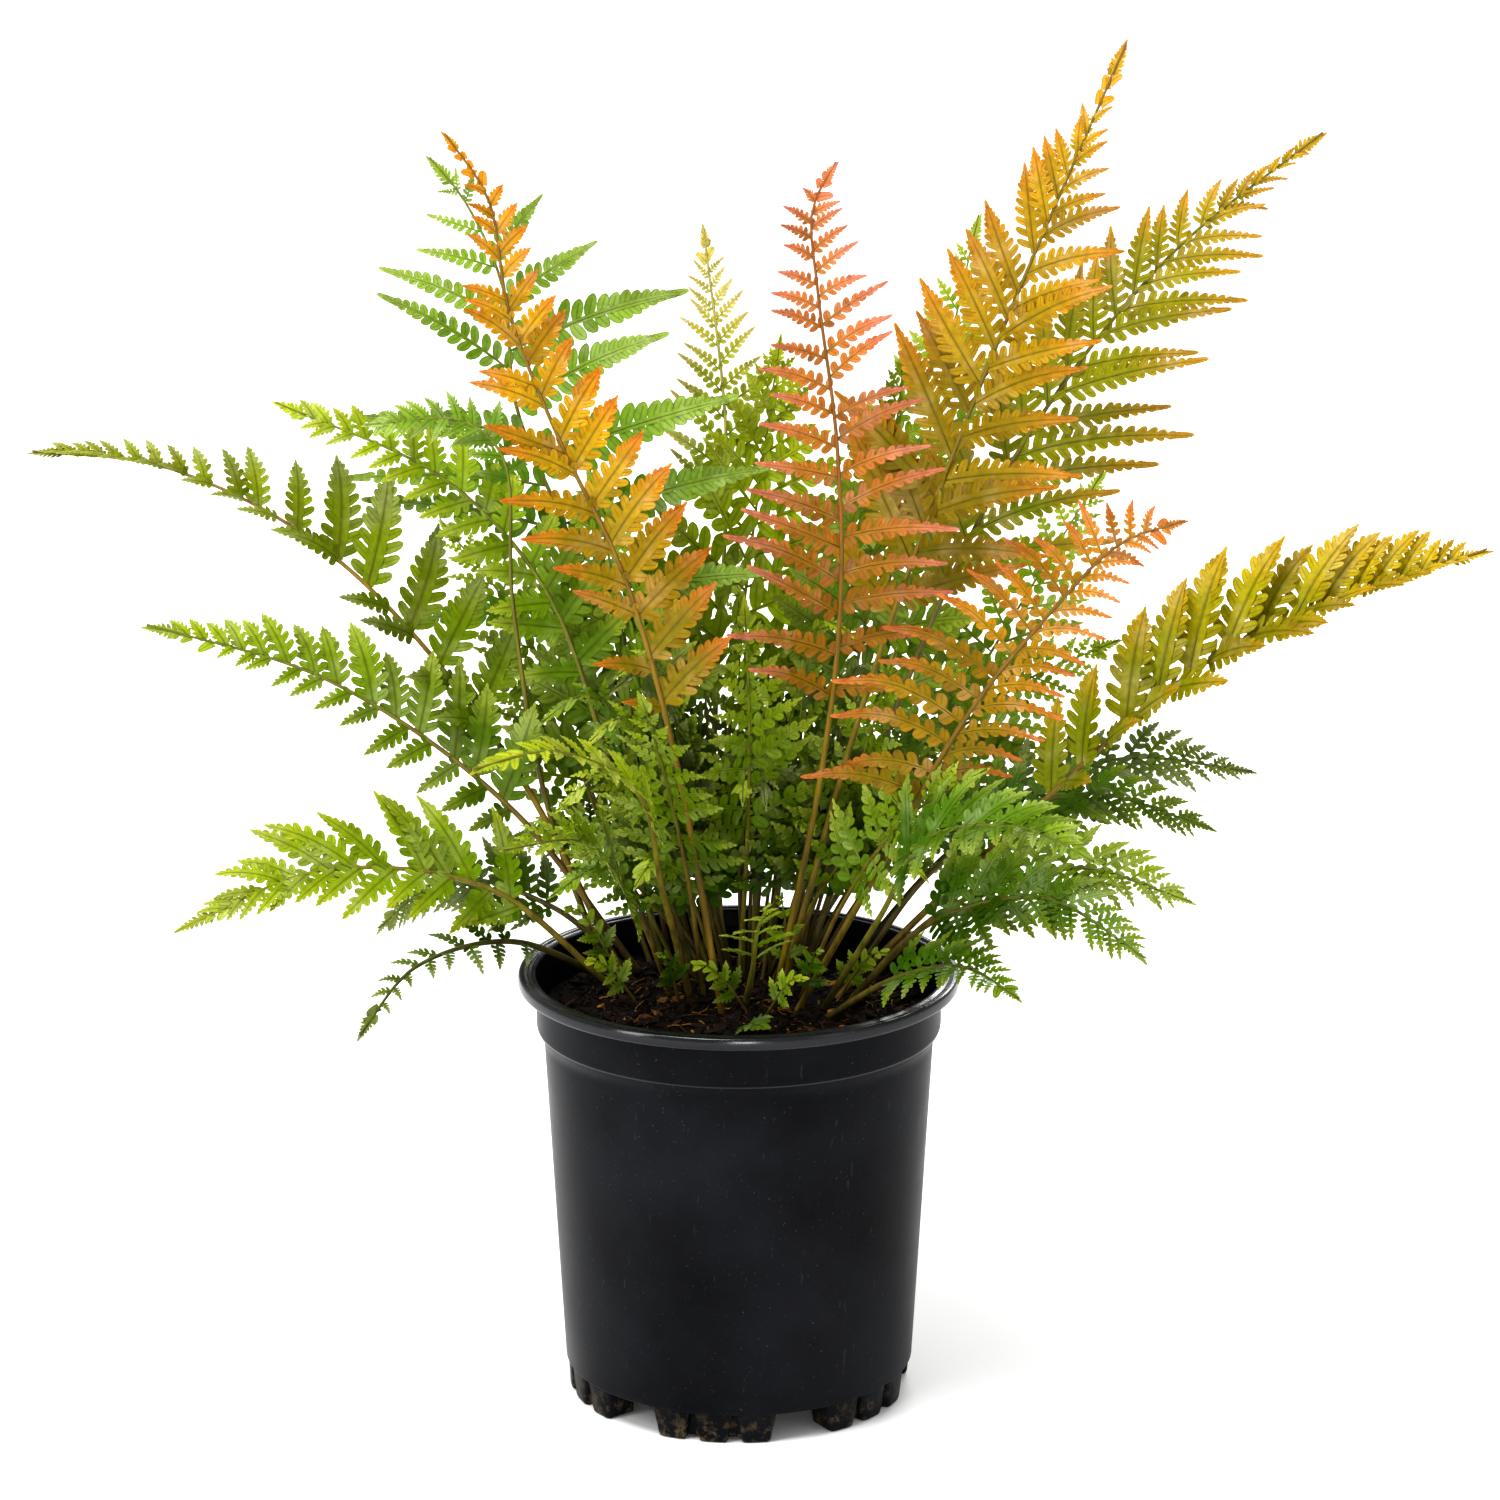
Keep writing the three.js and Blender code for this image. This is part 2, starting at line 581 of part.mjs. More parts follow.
// A pinna at place v of the blade, on the side towards +across (1) or away from it (-1).
function pinnaBlade(frond, line, { v, side, lift, stretch }, grow) {
  const u = onStem(frond, v);
  const { along, up, across } = line.frame(u);
  const [leftShare, rightShare] = frond.sides ?? [1, 1];
  const length = pinnaLength(frond, v) * stretch * (side > 0 ? rightShare : leftShare);
  const [lowAngle, highAngle] = frond.angles ?? FERN.angles;
  const angle = THREE.MathUtils.degToRad(THREE.MathUtils.lerp(lowAngle, highAngle, v));
  const out = along.clone().multiplyScalar(Math.cos(angle));
  const raised = (frond.raised ?? FERN.raised) + lift;
  out.addScaledVector(across, side * Math.sin(angle)).addScaledVector(up, raised).normalize();
  const bend = along.clone().multiplyScalar(FERN.forwardCurve).add(new THREE.Vector3(0, 0, -FERN.droop));
  const foot = line.at(u);
  const halfWidth = (x) => FERN.widthRatio * length * (1 - x) ** FERN.pinnaTaper;
  const halfFoot = (halfWidth(0) * FERN.notchRatio + FERN.leastNotch) / line.length;
  const edge = side > 0 ? 'right' : 'left';
  const lower = sectionAt(line, u - halfFoot)[edge];
  const upper = sectionAt(line, u + halfFoot)[edge];
  return {
    side,
    uLower: u - halfFoot,
    u,
    uUpper: u + halfFoot,
    base: {
      right: side > 0 ? lower : upper,
      left: side > 0 ? upper : lower,
      keel: sectionAt(line, u).keel,
    },
    place(x) {
      const rib = foot.clone().addScaledVector(out, length * x).addScaledVector(bend, length * x * x);
      const direction = out.clone().addScaledVector(bend, 2 * x).normalize();
      const ribUp = up.clone().addScaledVector(direction, -up.dot(direction)).normalize();
      return { rib, up: ribUp, across: direction.clone().cross(ribUp) };
    },
    lobes: length > FERN.longPinna ? 3 : 2,
    halfWidth,
    lean: FERN.lobeLean,
    grow,
  };
}

// The end of a frond, where pinnae are too small to stand alone: one cut blade on the stem.
function frondEnd(frond, line, stretch, grow) {
  const v = pairPlace(frond, frond.pairs - FERN.endStart);
  return {
    u: onStem(frond, v),
    base: sectionAt(line, onStem(frond, v)),
    place(x) {
      const u = onStem(frond, THREE.MathUtils.lerp(v, 1, x));
      const { up, across } = line.frame(u);
      return { rib: line.at(u), up, across };
    },
    lobes: frond.pairs > 6 ? 5 : 3,
    halfWidth: (x) => stretch * FERN.endRatio
      * pinnaLength(frond, THREE.MathUtils.lerp(v, 1, FERN.endLean * x)),
    lean: FERN.endLean,
    grow,
  };
}

// Everything that already has its place, to keep new leaves clear of it.
const placed = [];

function boxOf(solid) {
  const { min, max } = solid.boundingBox();
  return new THREE.Box3(new THREE.Vector3(...min), new THREE.Vector3(...max));
}

function keepPlace(solid, owner, isStem = false) {
  placed.push({ solid, owner, isStem, box: boxOf(solid) });
}

// A leaf keeps clear of other fronds with room to spare, and of its own frond's other leaves.
function isClear(roomy, exact, owner) {
  const box = boxOf(roomy);
  return placed.every((other) => {
    if (!other.box.intersectsBox(box)) return true;
    if (other.owner === owner) return other.isStem || other.solid.intersect(exact).volume() < SHARED_VOLUME;
    return other.solid.intersect(roomy).volume() < SHARED_VOLUME;
  });
}

function fittedBlade(frond, choices, makeBlade) {
  for (const choice of choices) {
    const exact = closedBlade(makeBlade(choice, 0));
    if (isClear(closedBlade(makeBlade(choice, FERN.clearance)), exact, frond.name)) {
      keepPlace(exact, frond.name);
      return makeBlade(choice, 0);
    }
  }
  return null;
}

function fittedPinna(frond, line, v, side) {
  const choices = LENGTHS.flatMap((stretch) => LIFTS.map((lift) => ({ v, side, lift, stretch })));
  return fittedBlade(frond, choices, (choice, grow) => pinnaBlade(frond, line, choice, grow));
}

function fittedEnd(frond, line) {
  return fittedBlade(frond, END_WIDTHS, (stretch, grow) => frondEnd(frond, line, stretch, grow));
}

// Stalk, stem, pinnae and end as one body. The stem's edges have corners where each pinna grows,
// and its side faces are left open there.
function growFrond(frond, line) {
  const end = fittedEnd(frond, line);
  const pinnae = [];
  for (let j = 0; j < frond.pairs; j++) {
    for (const side of [-1, 1]) {
      const v = pairPlace(frond, j + (side > 0 ? FERN.alternate : 0));
      const leaf = fittedPinna(frond, line, v, side);
      if (leaf) pinnae.push(leaf);
    }
  }
  pinnae.sort((a, b) => a.u - b.u);

  const body = newBody();
  const lines = { right: [], left: [], keel: [] };
  const addPoint = (edge, u, section) => lines[edge].push({ u, corner: body.corner(section[edge]) });
  const sections = [{ u: -1, section: buriedSection(line, FERN.rootDepth) }];
  for (let i = 1; i <= FERN.stalkRuns; i++) {
    const u = (frond.start - FERN.bareShare) * i / FERN.stalkRuns;
    sections.push({ u, section: sectionAt(line, u) });
  }
  sections.push({ u: end.u, section: end.base });
  for (const { u, section } of sections) {
    for (const edge of Object.keys(lines)) addPoint(edge, u, section);
  }
  for (const leaf of pinnae) {
    const edge = leaf.side > 0 ? 'right' : 'left';
    addPoint(edge, leaf.uLower, sectionAt(line, leaf.uLower));
    addPoint(edge, leaf.uUpper, sectionAt(line, leaf.uUpper));
    addPoint('keel', leaf.u, sectionAt(line, leaf.u));
    cutBlade(body, leaf);
  }
  for (const points of Object.values(lines)) points.sort((a, b) => a.u - b.u);
  zip(body, lines.left, lines.right);
  for (const [edge, side] of [['right', 1], ['left', -1]]) {
    let [fromEdge, fromKeel] = [-1, -1];
    const openings = pinnae.filter((leaf) => leaf.side === side);
    for (const stop of [...openings, { uLower: end.u, u: end.u }]) {
      const edgePoints = lines[edge].filter(({ u }) => u >= fromEdge && u <= stop.uLower);
      const keelPoints = lines.keel.filter(({ u }) => u >= fromKeel && u <= stop.u);
      if (side > 0) zip(body, edgePoints, keelPoints);
      else zip(body, keelPoints, edgePoints);
      [fromEdge, fromKeel] = [stop.uUpper, stop.u];
    }
  }
  body.faces.push([lines.left[0].corner, lines.keel[0].corner, lines.right[0].corner]);
  cutBlade(body, end);
  return body.solid();
}

// ---------------------------------------------------------------- the whole plant

const plant = new THREE.Group();
plant.name = 'potted_fern';

const potSolid = pot();
keepPlace(potSolid, 'pot');
plant.add(toMesh('pot', potSolid, PLASTIC));

const stems = FRONDS.map((frond) => {
  const line = stemLine(frond);
  keepPlace(stemBar(line), frond.name, true);
  return { frond, line };
});

const holes = stems.map(({ line }) => stalkHole(line));
const mixSolid = mixBody().subtract(Manifold.union(holes));
keepPlace(mixSolid, 'potting_mix');
plant.add(toMesh('potting_mix', mixSolid, BARK_MIX));

for (const { frond, line } of stems) {
  const leaf = { color: frond.color, roughness: LEAF_ROUGHNESS };
  plant.add(toMesh(`frond_${frond.name}`, growFrond(frond, line), leaf));
}

export default plant;
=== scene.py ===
import functools
import math
from collections import namedtuple

import bmesh
import bpy
import numpy as np
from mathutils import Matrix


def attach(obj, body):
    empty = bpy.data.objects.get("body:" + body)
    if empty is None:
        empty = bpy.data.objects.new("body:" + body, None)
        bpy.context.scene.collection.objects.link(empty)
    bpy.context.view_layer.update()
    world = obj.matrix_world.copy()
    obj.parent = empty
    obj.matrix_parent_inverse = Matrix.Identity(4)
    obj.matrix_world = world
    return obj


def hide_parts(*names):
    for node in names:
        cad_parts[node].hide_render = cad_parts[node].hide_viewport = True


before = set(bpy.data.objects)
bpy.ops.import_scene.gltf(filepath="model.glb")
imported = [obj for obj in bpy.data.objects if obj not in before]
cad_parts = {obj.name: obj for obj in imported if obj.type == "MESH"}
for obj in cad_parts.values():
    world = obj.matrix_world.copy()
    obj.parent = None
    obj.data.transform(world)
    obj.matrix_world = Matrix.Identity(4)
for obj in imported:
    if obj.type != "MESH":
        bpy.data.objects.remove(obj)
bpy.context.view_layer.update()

MM = 0.001
SEEDS = {"undergrowth": 5, "mix": 11, "chips": 23, "fibres": 31,
         "first_undergrowth": 100, "first_crown_leaf": 200, "bent_frond": 300}

# ---------------------------------------------------------------- sizes of the construction, in mm

POT = {
    "height": 163.6, "lip_radius": 82.5, "lip_height": 4.9, "mouth_radius": 75.8,
    "ring_width": 2.4, "groove_width": 1.2, "groove_depth": 0.9, "inner_ring": 1.2,
    "band_radius": 75.7, "band_bottom": 143.0, "shoulder_radius": 72.9, "shoulder_height": 138.2,
    "step_radius": 65.7, "step_height": 11.5, "wall": 1.5, "floor": 1.8,
}
POT_SIDES = 360
# The glossier finish of the lip and of the step under the band: how far outside the mouth and
# inside the band it starts, and how far below the lip and above the step it goes.
GLOSSY = {"lip": 1.6, "band": 0.5, "below": 0.4, "above": 0.2}
# The feet's angles, and the widths of their lugs and of the drain holes, are in degrees.
FEET = {
    "count": 6, "first_angle": -8.5, "lugs": 3, "lug_pitch": 14.4, "sunk": 0.6, "proud": 0.1,
    "lug_top_width": 13.6, "lug_bottom_width": 9.4, "outer_radius": 65.0, "inner_radius": 53.0,
    "draft": 0.8, "bevel": 1.1, "web_radius": 62.6, "web_bottom": 1.4, "web_inset": 0.8,
    "web_width": 0.6, "web_bevel": 0.6,
    "drain_width": 11.0, "drain_inner": 50.0, "drain_outer": 61.0,
}
# A lug's lower corners, in degrees across and in mm up, and the rounding of its outer edges: each
# is a share of the bevel and an inset.
LUG = {"corner": 1.3, "widened": 0.25, "chamfer": 0.35, "narrowed": 0.15, "flat": 1.0, "rise": 1.1,
       "rounding": ((1, 0), (0.35, 0.3), (0, 0.9))}
MIX = {"edge_height": 148.6, "top_height": 150.6, "flat_share": 0.6, "gap": 0.3,
       "rings": 56, "sides": 168, "highest_lump": 2,
       "level_at_wall": (8, 0.15)}  # how soon the lumps level out there, and what is left of them
# The lumps and hollows on the mix: how far apart, and how high.
LUMPS = ((26, 0.6), (9, 0.45), (3.4, 0.3))
# Bark chips and crumbs: how round, how many, their size, how flat they lie and how far out they stand.
CHIPS = (
    dict(divisions=2, count=420, size=(3.4, 1.7, 0.8), flat=0.82, lift=0.45),
    dict(divisions=1, count=1500, size=(1.4, 0.8, 0.5), flat=0.5, lift=0.25),
    dict(divisions=1, count=2600, size=(0.6, 0.45, 0.35), flat=0.2, lift=0.1),
)
# How chips stray: their sizes, the largest for the middle one, their roughness, how far they
# tumble, their darkness, the share of fresh ones and how much paler these are, and the distance
# that they keep from the wall.
CHIP_STRAY = {"size": 0.35, "largest": 1.9, "rough": 0.16, "tumble": 1.6, "tone": (1.3, 3.2),
              "fresh": 0.06, "paler": 0.5, "edge": 0.4}
FIBRES = {"count": 170, "edge": 12, "end_edge": 2, "length": (6, 16), "curve": 0.09,
          "radius": (0.14, 0.34), "lift": 0.3, "arch": 1.6, "rings": 7, "sides": 5}
FERN = {
    "root_height": 150.0, "root_depth": 7.0, "forward_curve": 0.14, "droop": 0.1,
    "foot_share": 0.84, "blade_taper": 0.75, "crowding": 1.2, "tip_pairs": 1.8, "alternate": 0.35,
}
# How far a pinna of the solids stands up or hangs, and its length for the whole one.
LIFTS = (0, 0.2, -0.2, 0.4, -0.4, 0.6, -0.6)
LENGTHS = (1, 0.8, 0.6)

# ---------------------------------------------------------------- finer growth, in mm

# Pairs of numbers are from foot to tip, or a share of the length and a constant.
FINE = {
    "full_reach": 0.7,      # how far a shortened pinna of the solids is brought back to full length
    "matched": 0.6,         # how near a tip of the solids is to the one looked for
    "unmatched": 0.55,      # the length for the whole one where none is
    "stalk_radius": 1.45,
    "tip_radius": 0.4,
    "stem_rings": 46,
    "stem_sides": 8,
    "pair_gap": 0.5,        # room past the last pair, in steps
    "base_end": 2.5,        # how soon the lowest pinnae's own length gives way
    "turn_end": 1.5,        # how late their own lean does
    "facing": (0, -0.5, 0.18),  # how far the pinnae turn from the stem's face, towards the front
    "whole_width": 25.0,    # the pinna length that has the width named for its frond
    "foot_width": (0.78, 1.1),  # a pinna's width at its foot, and how fast it grows to the whole
    "small_pinna": 6.5,     # a shorter one is a single toothed leaflet
    "most_leaflets": 15,
    "least_leaflet": 0.5,
    "least_half_width": 0.25,
    "first_leaflet": (0.65, 0.35),  # in steps, on the two sides
    "last_gap": 0.7,        # in steps too
    "leaflet_crowding": 1.3,
    "leaflet_angles": (72, 47),
    "filled": 1.6,          # how soon along the pinna the leaflets fill their steps
    "freed": 8,             # how much longer a pinna is whose leaflets are free, than a fused one
    "joining": (0.3, 0.5),  # where along a pinna leaflets start to join, and over what share
    "joined": 0.6,
    "sweep": 0.12,
    "tip_leaflet": 0.88,    # where along a pinna its last leaflet starts
    "tip_length": (0.12, 0.5),
    "tip_width": (0.014, 0.25),  # half of it
    "wing_end": 0.97,
    "wing_rows": 9,
    "wing_places": (0.04, 0.3, 0.95),
    "wing_least": 0.12,
    "wing_thickness": 0.1,
    "rib_rows": [0, 1, 2, 4, 5, 6, 8],
    "rib_radius": 0.34,
    "rib_length": 45,       # the pinna length that has this radius
    "rib_end": 0.1,
    "rib_sunk": 0.05,
    "rib_tint": (0.12, 0.4),
    "end_share": 0.13,      # the blade's tip, lobed like a pinna: its length, for the blade's
    "end_broad": 0.2,
    "end_clear": 0.75,      # how much of it is free of other pinnae
    "end_reach": 0.9,
}
# How much random growth strays: a deviation, or a middle and a deviation.
STRAY = {
    "arch": 0.05, "bend": 0.035, "facing": 0.09, "raise": (0.16, 0.1), "angle": 3, "length": 0.04,
    "leaflet_tone": 0.14, "fold": (0.2, 0.06), "curl": (0.08, 0.07), "place": 0.12, "lift": 0.07,
    "pinna_length": 0.07, "turn": 5, "pinna_tone": (0.5, 0.16), "frond_tone": (0.5, 0.1),
    "heading": 8, "height": 9,
}
# A pinna so short that it is one leaflet. Half its width is a share of its length and a constant.
SINGLE = {"place": 0.3, "width": (0.16, 0.45), "fuse": 0.5, "fold": 0.2, "curl": 0.1,
          "sweep": 0.6, "reach": 0.6}
# How a frond's pinnae grow, where pairs of numbers are for its two sides.
GROWTH = {
    "pair_ratio": 1.9,      # pairs of pinnae here for each pair in the solids
    "crowding": 1.6,        # how much closer they stand towards the tip
    "taper": 0.85,          # how the pinnae shorten along the blade
    "tip": (0.1, 0.6),      # the last share of the blade, where they shorten faster, and how fast
    "least": (3.5, 0),      # the shortest at the tip, and how much longer they are at the foot
    "lifts": 1.0,           # how far they stand up or hang as in the solids
    "sides": (1, 1),        # their length for that in the solids
    "base": (1, 1),         # the same for the lowest ones
    "turn": (0, 0),         # degrees that the lowest ones lean to the foot, from the solids'
    "close": (14, 4),       # degrees that those at the very tip close up, and how late this starts
    "arch": 0.14,           # how high they arch
    "broad": (0.225, 0.225),  # half a pinna's width, for its length
    "slim": 0.25,           # how much slimmer the long ones are
    "point": (1.2, 0.85),   # how a pinna narrows: low powers make a long thin tip
    "fill": (0.8, 0.98),    # how much of the step along the rib a leaflet fills, low and high
    "end": 15.0,            # how long the blade's tip may be
    "leaflets": (6, 0.17),  # on each side of a pinna: the least, and more for each mm of its length
    "wing": (0.12, 0.34, 0.62),  # the joined blade's share of the pinna's width: foot, middle, tip
    "fused": 16.0,          # a shorter pinna has its leaflets joined along its whole rib
    "oval": 0,              # how far along a pinna its leaflets are oval
    "thick": 1.0,           # the stem's thickness
}
OPEN = dict(oval=0.85, wing=(0.04, 0.1, 0.34), leaflets=(6, 0.12), fill=(0.84, 0.94), fused=8)
THICKET = dict(OPEN, oval=1.1, leaflets=(3.5, 0.08), fill=(0.8, 0.88), fused=6)
SLENDER = dict(THICKET, thick=0.75)
FULL = dict(SLENDER, sides=(1.3, 1.3), pair_ratio=2.3, broad=(0.27, 0.27))
JOINED = dict(wing=(0.28, 0.4, 0.65), leaflets=(4.5, 0.13), fill=(0.9, 1.0), point=(1.4, 0.8))
LEAFY = dict(
    pair_ratio=2.4, crowding=1.5, taper=0.7, turn=(-8, -8), broad=(0.22, 0.22), oval=0.6, fused=10,
    wing=(0.07, 0.2, 0.5), leaflets=(4, 0.12), fill=(0.84, 0.94))
CORAL = dict(
    base=(0.85, 0.7), taper=0.75, slim=0.5, wing=(0.08, 0.25, 0.55), point=(1.0, 0.8),
    fill=(0.8, 0.9), end=9)

# ---------------------------------------------------------------- the fronds, in mm

# What every frond has where its own entry says nothing: where its blade starts, its pairs of pinnae
# in the solids, its longest pinna, the way its face looks, its pinnae's angles to the stem at the
# blade's foot and tip, how far they are raised, their lengths on its two sides, its palette and its
# finer growth. The path is the points that its stem passes through.
FROND = dict(start=0.4, pairs=5, longest=34, face=(0, -0.6, 0.8), angles=(70, 48), raised=0.15,
             sides=(1, 1), palette="mid_green", grows=SLENDER)
FRONDS = {
    "coral_centre": dict(
        start=0.38, pairs=9, longest=46, face=(0.3, -1, 0.25), angles=(84, 62), palette="coral",
        path=[(13, -2), (31, -15, 248), (37, -26, 313), (35, -36, 373), (28, -46, 428),
              (26, -51, 458), (34, -55, 475)],
        grows=dict(CORAL, sides=(1.2, 1.2), turn=(-14, 8), broad=(0.17, 0.17), arch=0.25,
                   leaflets=(6, 0.09))),
    "orange_tall": dict(
        start=0.34, pairs=9, longest=42, face=(0.3, -1, 0.2), angles=(76, 50), palette="orange",
        path=[(-6, -12), (-24, -13, 253), (-42, -14, 319), (-64, -14, 367), (-82, -14, 415),
              (-89, -15, 456), (-104, -15, 479)],
        grows=dict(JOINED, sides=(1.25, 1.15), base=(0.4, 0.75), turn=(-16, -6),
                   broad=(0.18, 0.25), arch=0.25, leaflets=(5, 0.12), end=8)),
    "gold_tall": dict(
        start=0.41, pairs=9, longest=54, face=(-0.3, -1, 0.1), angles=(54, 42), palette="gold",
        path=[(15, 5), (50, 4, 278), (95, 2, 404), (138, 0, 509)],
        grows=dict(sides=(1.1, 1.1), turn=(0, 8), close=(22, 3), taper=0.68, tip=(0.34, 0.75),
                   least=(6, 0), broad=(0.235, 0.18), arch=0.2, wing=(0.2, 0.38, 0.62))),
    "gold_right": dict(
        start=0.42, pairs=9, longest=58, face=(0.25, -1, 0.2), angles=(52, 42), sides=(0.6, 1.15),
        palette="gold_green",
        path=[(23, 24), (61, 42, 258), (102, 58, 344), (160, 76, 418), (219, 90, 464)],
        grows=dict(sides=(1.4, 0.95), close=(22, 3), taper=0.55, tip=(0.4, 0.8), least=(6.5, 0),
                   broad=(0.235, 0.16), arch=0.2, point=(1.0, 0.8))),
    "orange_right": dict(
        pairs=8, longest=52, face=(0, -1, 0.3), angles=(84, 60), palette="orange_coral",
        path=[(22, -8), (55, -34, 220), (82, -59, 278), (109, -81, 320), (132, -98, 349),
              (153, -110, 360)],
        grows=dict(CORAL, sides=(1.15, 0.85), turn=(28, -30), broad=(0.16, 0.16), arch=0.45,
                   leaflets=(6, 0.08))),
    "far_right": dict(
        start=0.38, pairs=8, longest=50, face=(0, -0.4, 0.9), angles=(56, 40), raised=0.5,
        palette="yellow_olive",
        path=[(36, 5), (105, 1, 221), (178, -4, 287), (272, -10, 327)],
        grows=dict(JOINED, sides=(0.95, 0.65), base=(0.8, 0.8), turn=(-20, -8), taper=0.05,
                   tip=(0.52, 0.8), crowding=2.2, lifts=0.35, pair_ratio=2.0, broad=(0.26, 0.25),
                   slim=0.15, least=(5, 8))),
    "left_arching": dict(
        start=0.33, pairs=8, longest=44, face=(0, -0.4, 0.9), angles=(60, 45), raised=0.5,
        palette="glossy_green",
        path=[(-42, 24), (-88, 42, 235), (-153, 66, 306), (-216, 85, 336), (-271, 100, 340)],
        grows=dict(JOINED, sides=(0.6, 1.0), turn=(0, 12), close=(28, 3), taper=0.05,
                   tip=(0.62, 1.6), crowding=3.2, pair_ratio=2.85, broad=(0.2, 0.25), slim=0.1,
                   least=(7, 18), lifts=0.6)),
    "left_mid": dict(
        start=0.34, pairs=7, longest=36, face=(0, -0.8, 0.6),
        path=[(-38, 38), (-87, 35, 217), (-153, 30, 267), (-220, 25, 290)],
        grows=dict(JOINED, sides=(0.66, 1.1), taper=0.75, broad=(0.24, 0.27))),
    "left_low": dict(
        start=0.28, pairs=7, longest=36, face=(0, -0.7, 0.7), palette="lime",
        path=[(-46, 15), (-93, 0, 195), (-153, -20, 208), (-203, -40, 192)],
        grows=dict(JOINED, sides=(0.8, 1.1), pair_ratio=1.7, turn=(-6, -12), close=(26, 1.3),
                   taper=0.35, tip=(0.4, 0.8), broad=(0.24, 0.2))),
    "left_upper": dict(
        start=0.42, pairs=8, longest=40, face=(0.1, -0.9, 0.4), palette="bright_green",
        path=[(-29, 48), (-50, 54, 231), (-74, 61, 296), (-111, 67, 336), (-175, 75, 364)],
        grows=dict(JOINED, sides=(0.7, 0.8), taper=0.6, pair_ratio=1.7, broad=(0.26, 0.29),
                   slim=0.1)),
    "left_tall": dict(
        start=0.42, pairs=8, longest=58, face=(-0.25, -1, 0.15), angles=(80, 50),
        palette="soft_green",
        path=[(-17, 53), (-44, 71, 243), (-63, 83, 305), (-85, 96, 358), (-90, 106, 402),
              (-104, 115, 433), (-118, 120, 450)],
        grows=dict(OPEN, sides=(1.5, 1.75), turn=(-2, 30), taper=0.5, tip=(0.42, 0.8),
                   pair_ratio=1.02, broad=(0.16, 0.18), arch=0.15, leaflets=(6, 0.14))),
    "front_left": dict(
        start=0.45, pairs=6, face=(0, -0.5, 0.85), palette="fresh",
        path=[(-18, 5), (-28, -29, 204), (-36, -57, 248), (-64, -92, 273), (-91, -125, 276)],
        grows=dict(JOINED, sides=(0.62, 0.62), least=(6, 0))),
    "front_right": dict(
        start=0.45, pairs=6, palette="glossy_light",
        path=[(31, -9), (51, -50, 199), (68, -83, 239), (99, -127, 255), (120, -165, 255)],
        grows=dict(JOINED, pair_ratio=2.2, turn=(-8, -8), broad=(0.22, 0.22))),
    "left_drooping": dict(
        start=0.3, longest=22, palette="dark",
        path=[(-49, 30), (-84, 4, 173), (-118, -36, 176), (-136, -75, 163)],
        grows=dict(LEAFY, sides=(0.8, 0.8), pair_ratio=1.5)),
    "left_shaded": dict(
        start=0.32, longest=26, face=(0, -0.7, 0.7), palette="dark", grows=LEAFY,
        path=[(-43, 42), (-70, 46, 173), (-111, 53, 183), (-139, 60, 161)]),
    "cream_back": dict(
        start=0.62, longest=36, face=(0.3, -1, 0.2), palette="cream",
        path=[(-13, 63), (-9, 90, 245), (-5, 121, 339), (-14, 150, 419)],
        grows=dict(OPEN, turn=(-12, -12), taper=0.9, pair_ratio=2.2, broad=(0.15, 0.17), end=9)),
    "right_shaded": dict(
        palette="dark", grows=LEAFY,
        path=[(39, 36), (84, 46, 199), (141, 59, 228), (197, 70, 221)]),
    "right_mid": dict(
        start=0.38, palette="deep_green", grows=LEAFY,
        path=[(40, 18), (75, 17, 199), (127, 16, 227), (177, 15, 214)]),
    "right_low": dict(
        start=0.36, grows=LEAFY,
        path=[(42, 5), (77, -7, 189), (123, -23, 210), (165, -40, 202)]),
    "right_lower": dict(
        start=0.36, palette="deep_green", grows=LEAFY,
        path=[(39, -6), (70, -28, 190), (111, -56, 208), (145, -85, 195)]),
    "right_rim": dict(
        start=0.34, pairs=4, longest=24, palette="deep_green", grows=LEAFY,
        path=[(32, -18), (56, -48, 175), (80, -83, 191), (98, -118, 191)]),
    "back_centre": dict(
        start=0.42, longest=52, face=(0.5, -1, 0.2), palette="fresh", grows=FULL,
        path=[(-11, 59), (-4, 81, 231), (6, 108, 311), (16, 134, 378)]),
    "back_right": dict(
        start=0.45, longest=50, face=(-0.5, -1, 0.2), palette="bright_green",
        path=[(16, 55), (45, 85, 246), (73, 119, 341), (93, 150, 423)]),
    "inner_right": dict(
        longest=46, face=(0.6, -1, 0.2), palette="bright_green", grows=FULL,
        path=[(14, 49), (37, 57, 231), (54, 66, 315), (63, 75, 387)]),
    "back_left": dict(
        longest=44, face=(0.5, -0.8, 0.4),
        path=[(-30, 55), (-57, 90, 206), (-84, 126, 262), (-119, 160, 300)]),
    "back_far_right": dict(
        start=0.42, longest=48, face=(-0.5, -0.8, 0.3), palette="bright_green",
        path=[(26, 52), (67, 89, 211), (109, 129, 270), (145, 165, 319)]),
    "inner_left": dict(
        longest=44, face=(-0.6, -1, 0.2), grows=FULL,
        path=[(-27, 58), (-38, 59, 218), (-45, 60, 284), (-56, 60, 342)]),
    "right_inner": dict(
        longest=40, face=(0, -0.8, 0.6),
        path=[(31, 42), (63, 63, 202), (102, 88, 246), (148, 110, 263)]),
    "front_left_low": dict(
        pairs=4, longest=30, path=[(-25, 5), (-37, -29, 194), (-55, -66, 232), (-82, -105, 241)]),
    "front_mid": dict(
        pairs=4, face=(-0.4, -0.9, 0.4),
        path=[(-13, 5), (-18, -15, 199), (-26, -39, 247), (-35, -60, 287)]),
    "front_right_mid": dict(
        pairs=4, face=(0, -0.7, 0.7),
        path=[(23, 5), (39, -19, 196), (61, -47, 236), (88, -75, 262)]),
    "left_inner": dict(
        pairs=4, longest=36, face=(0, -0.8, 0.6),
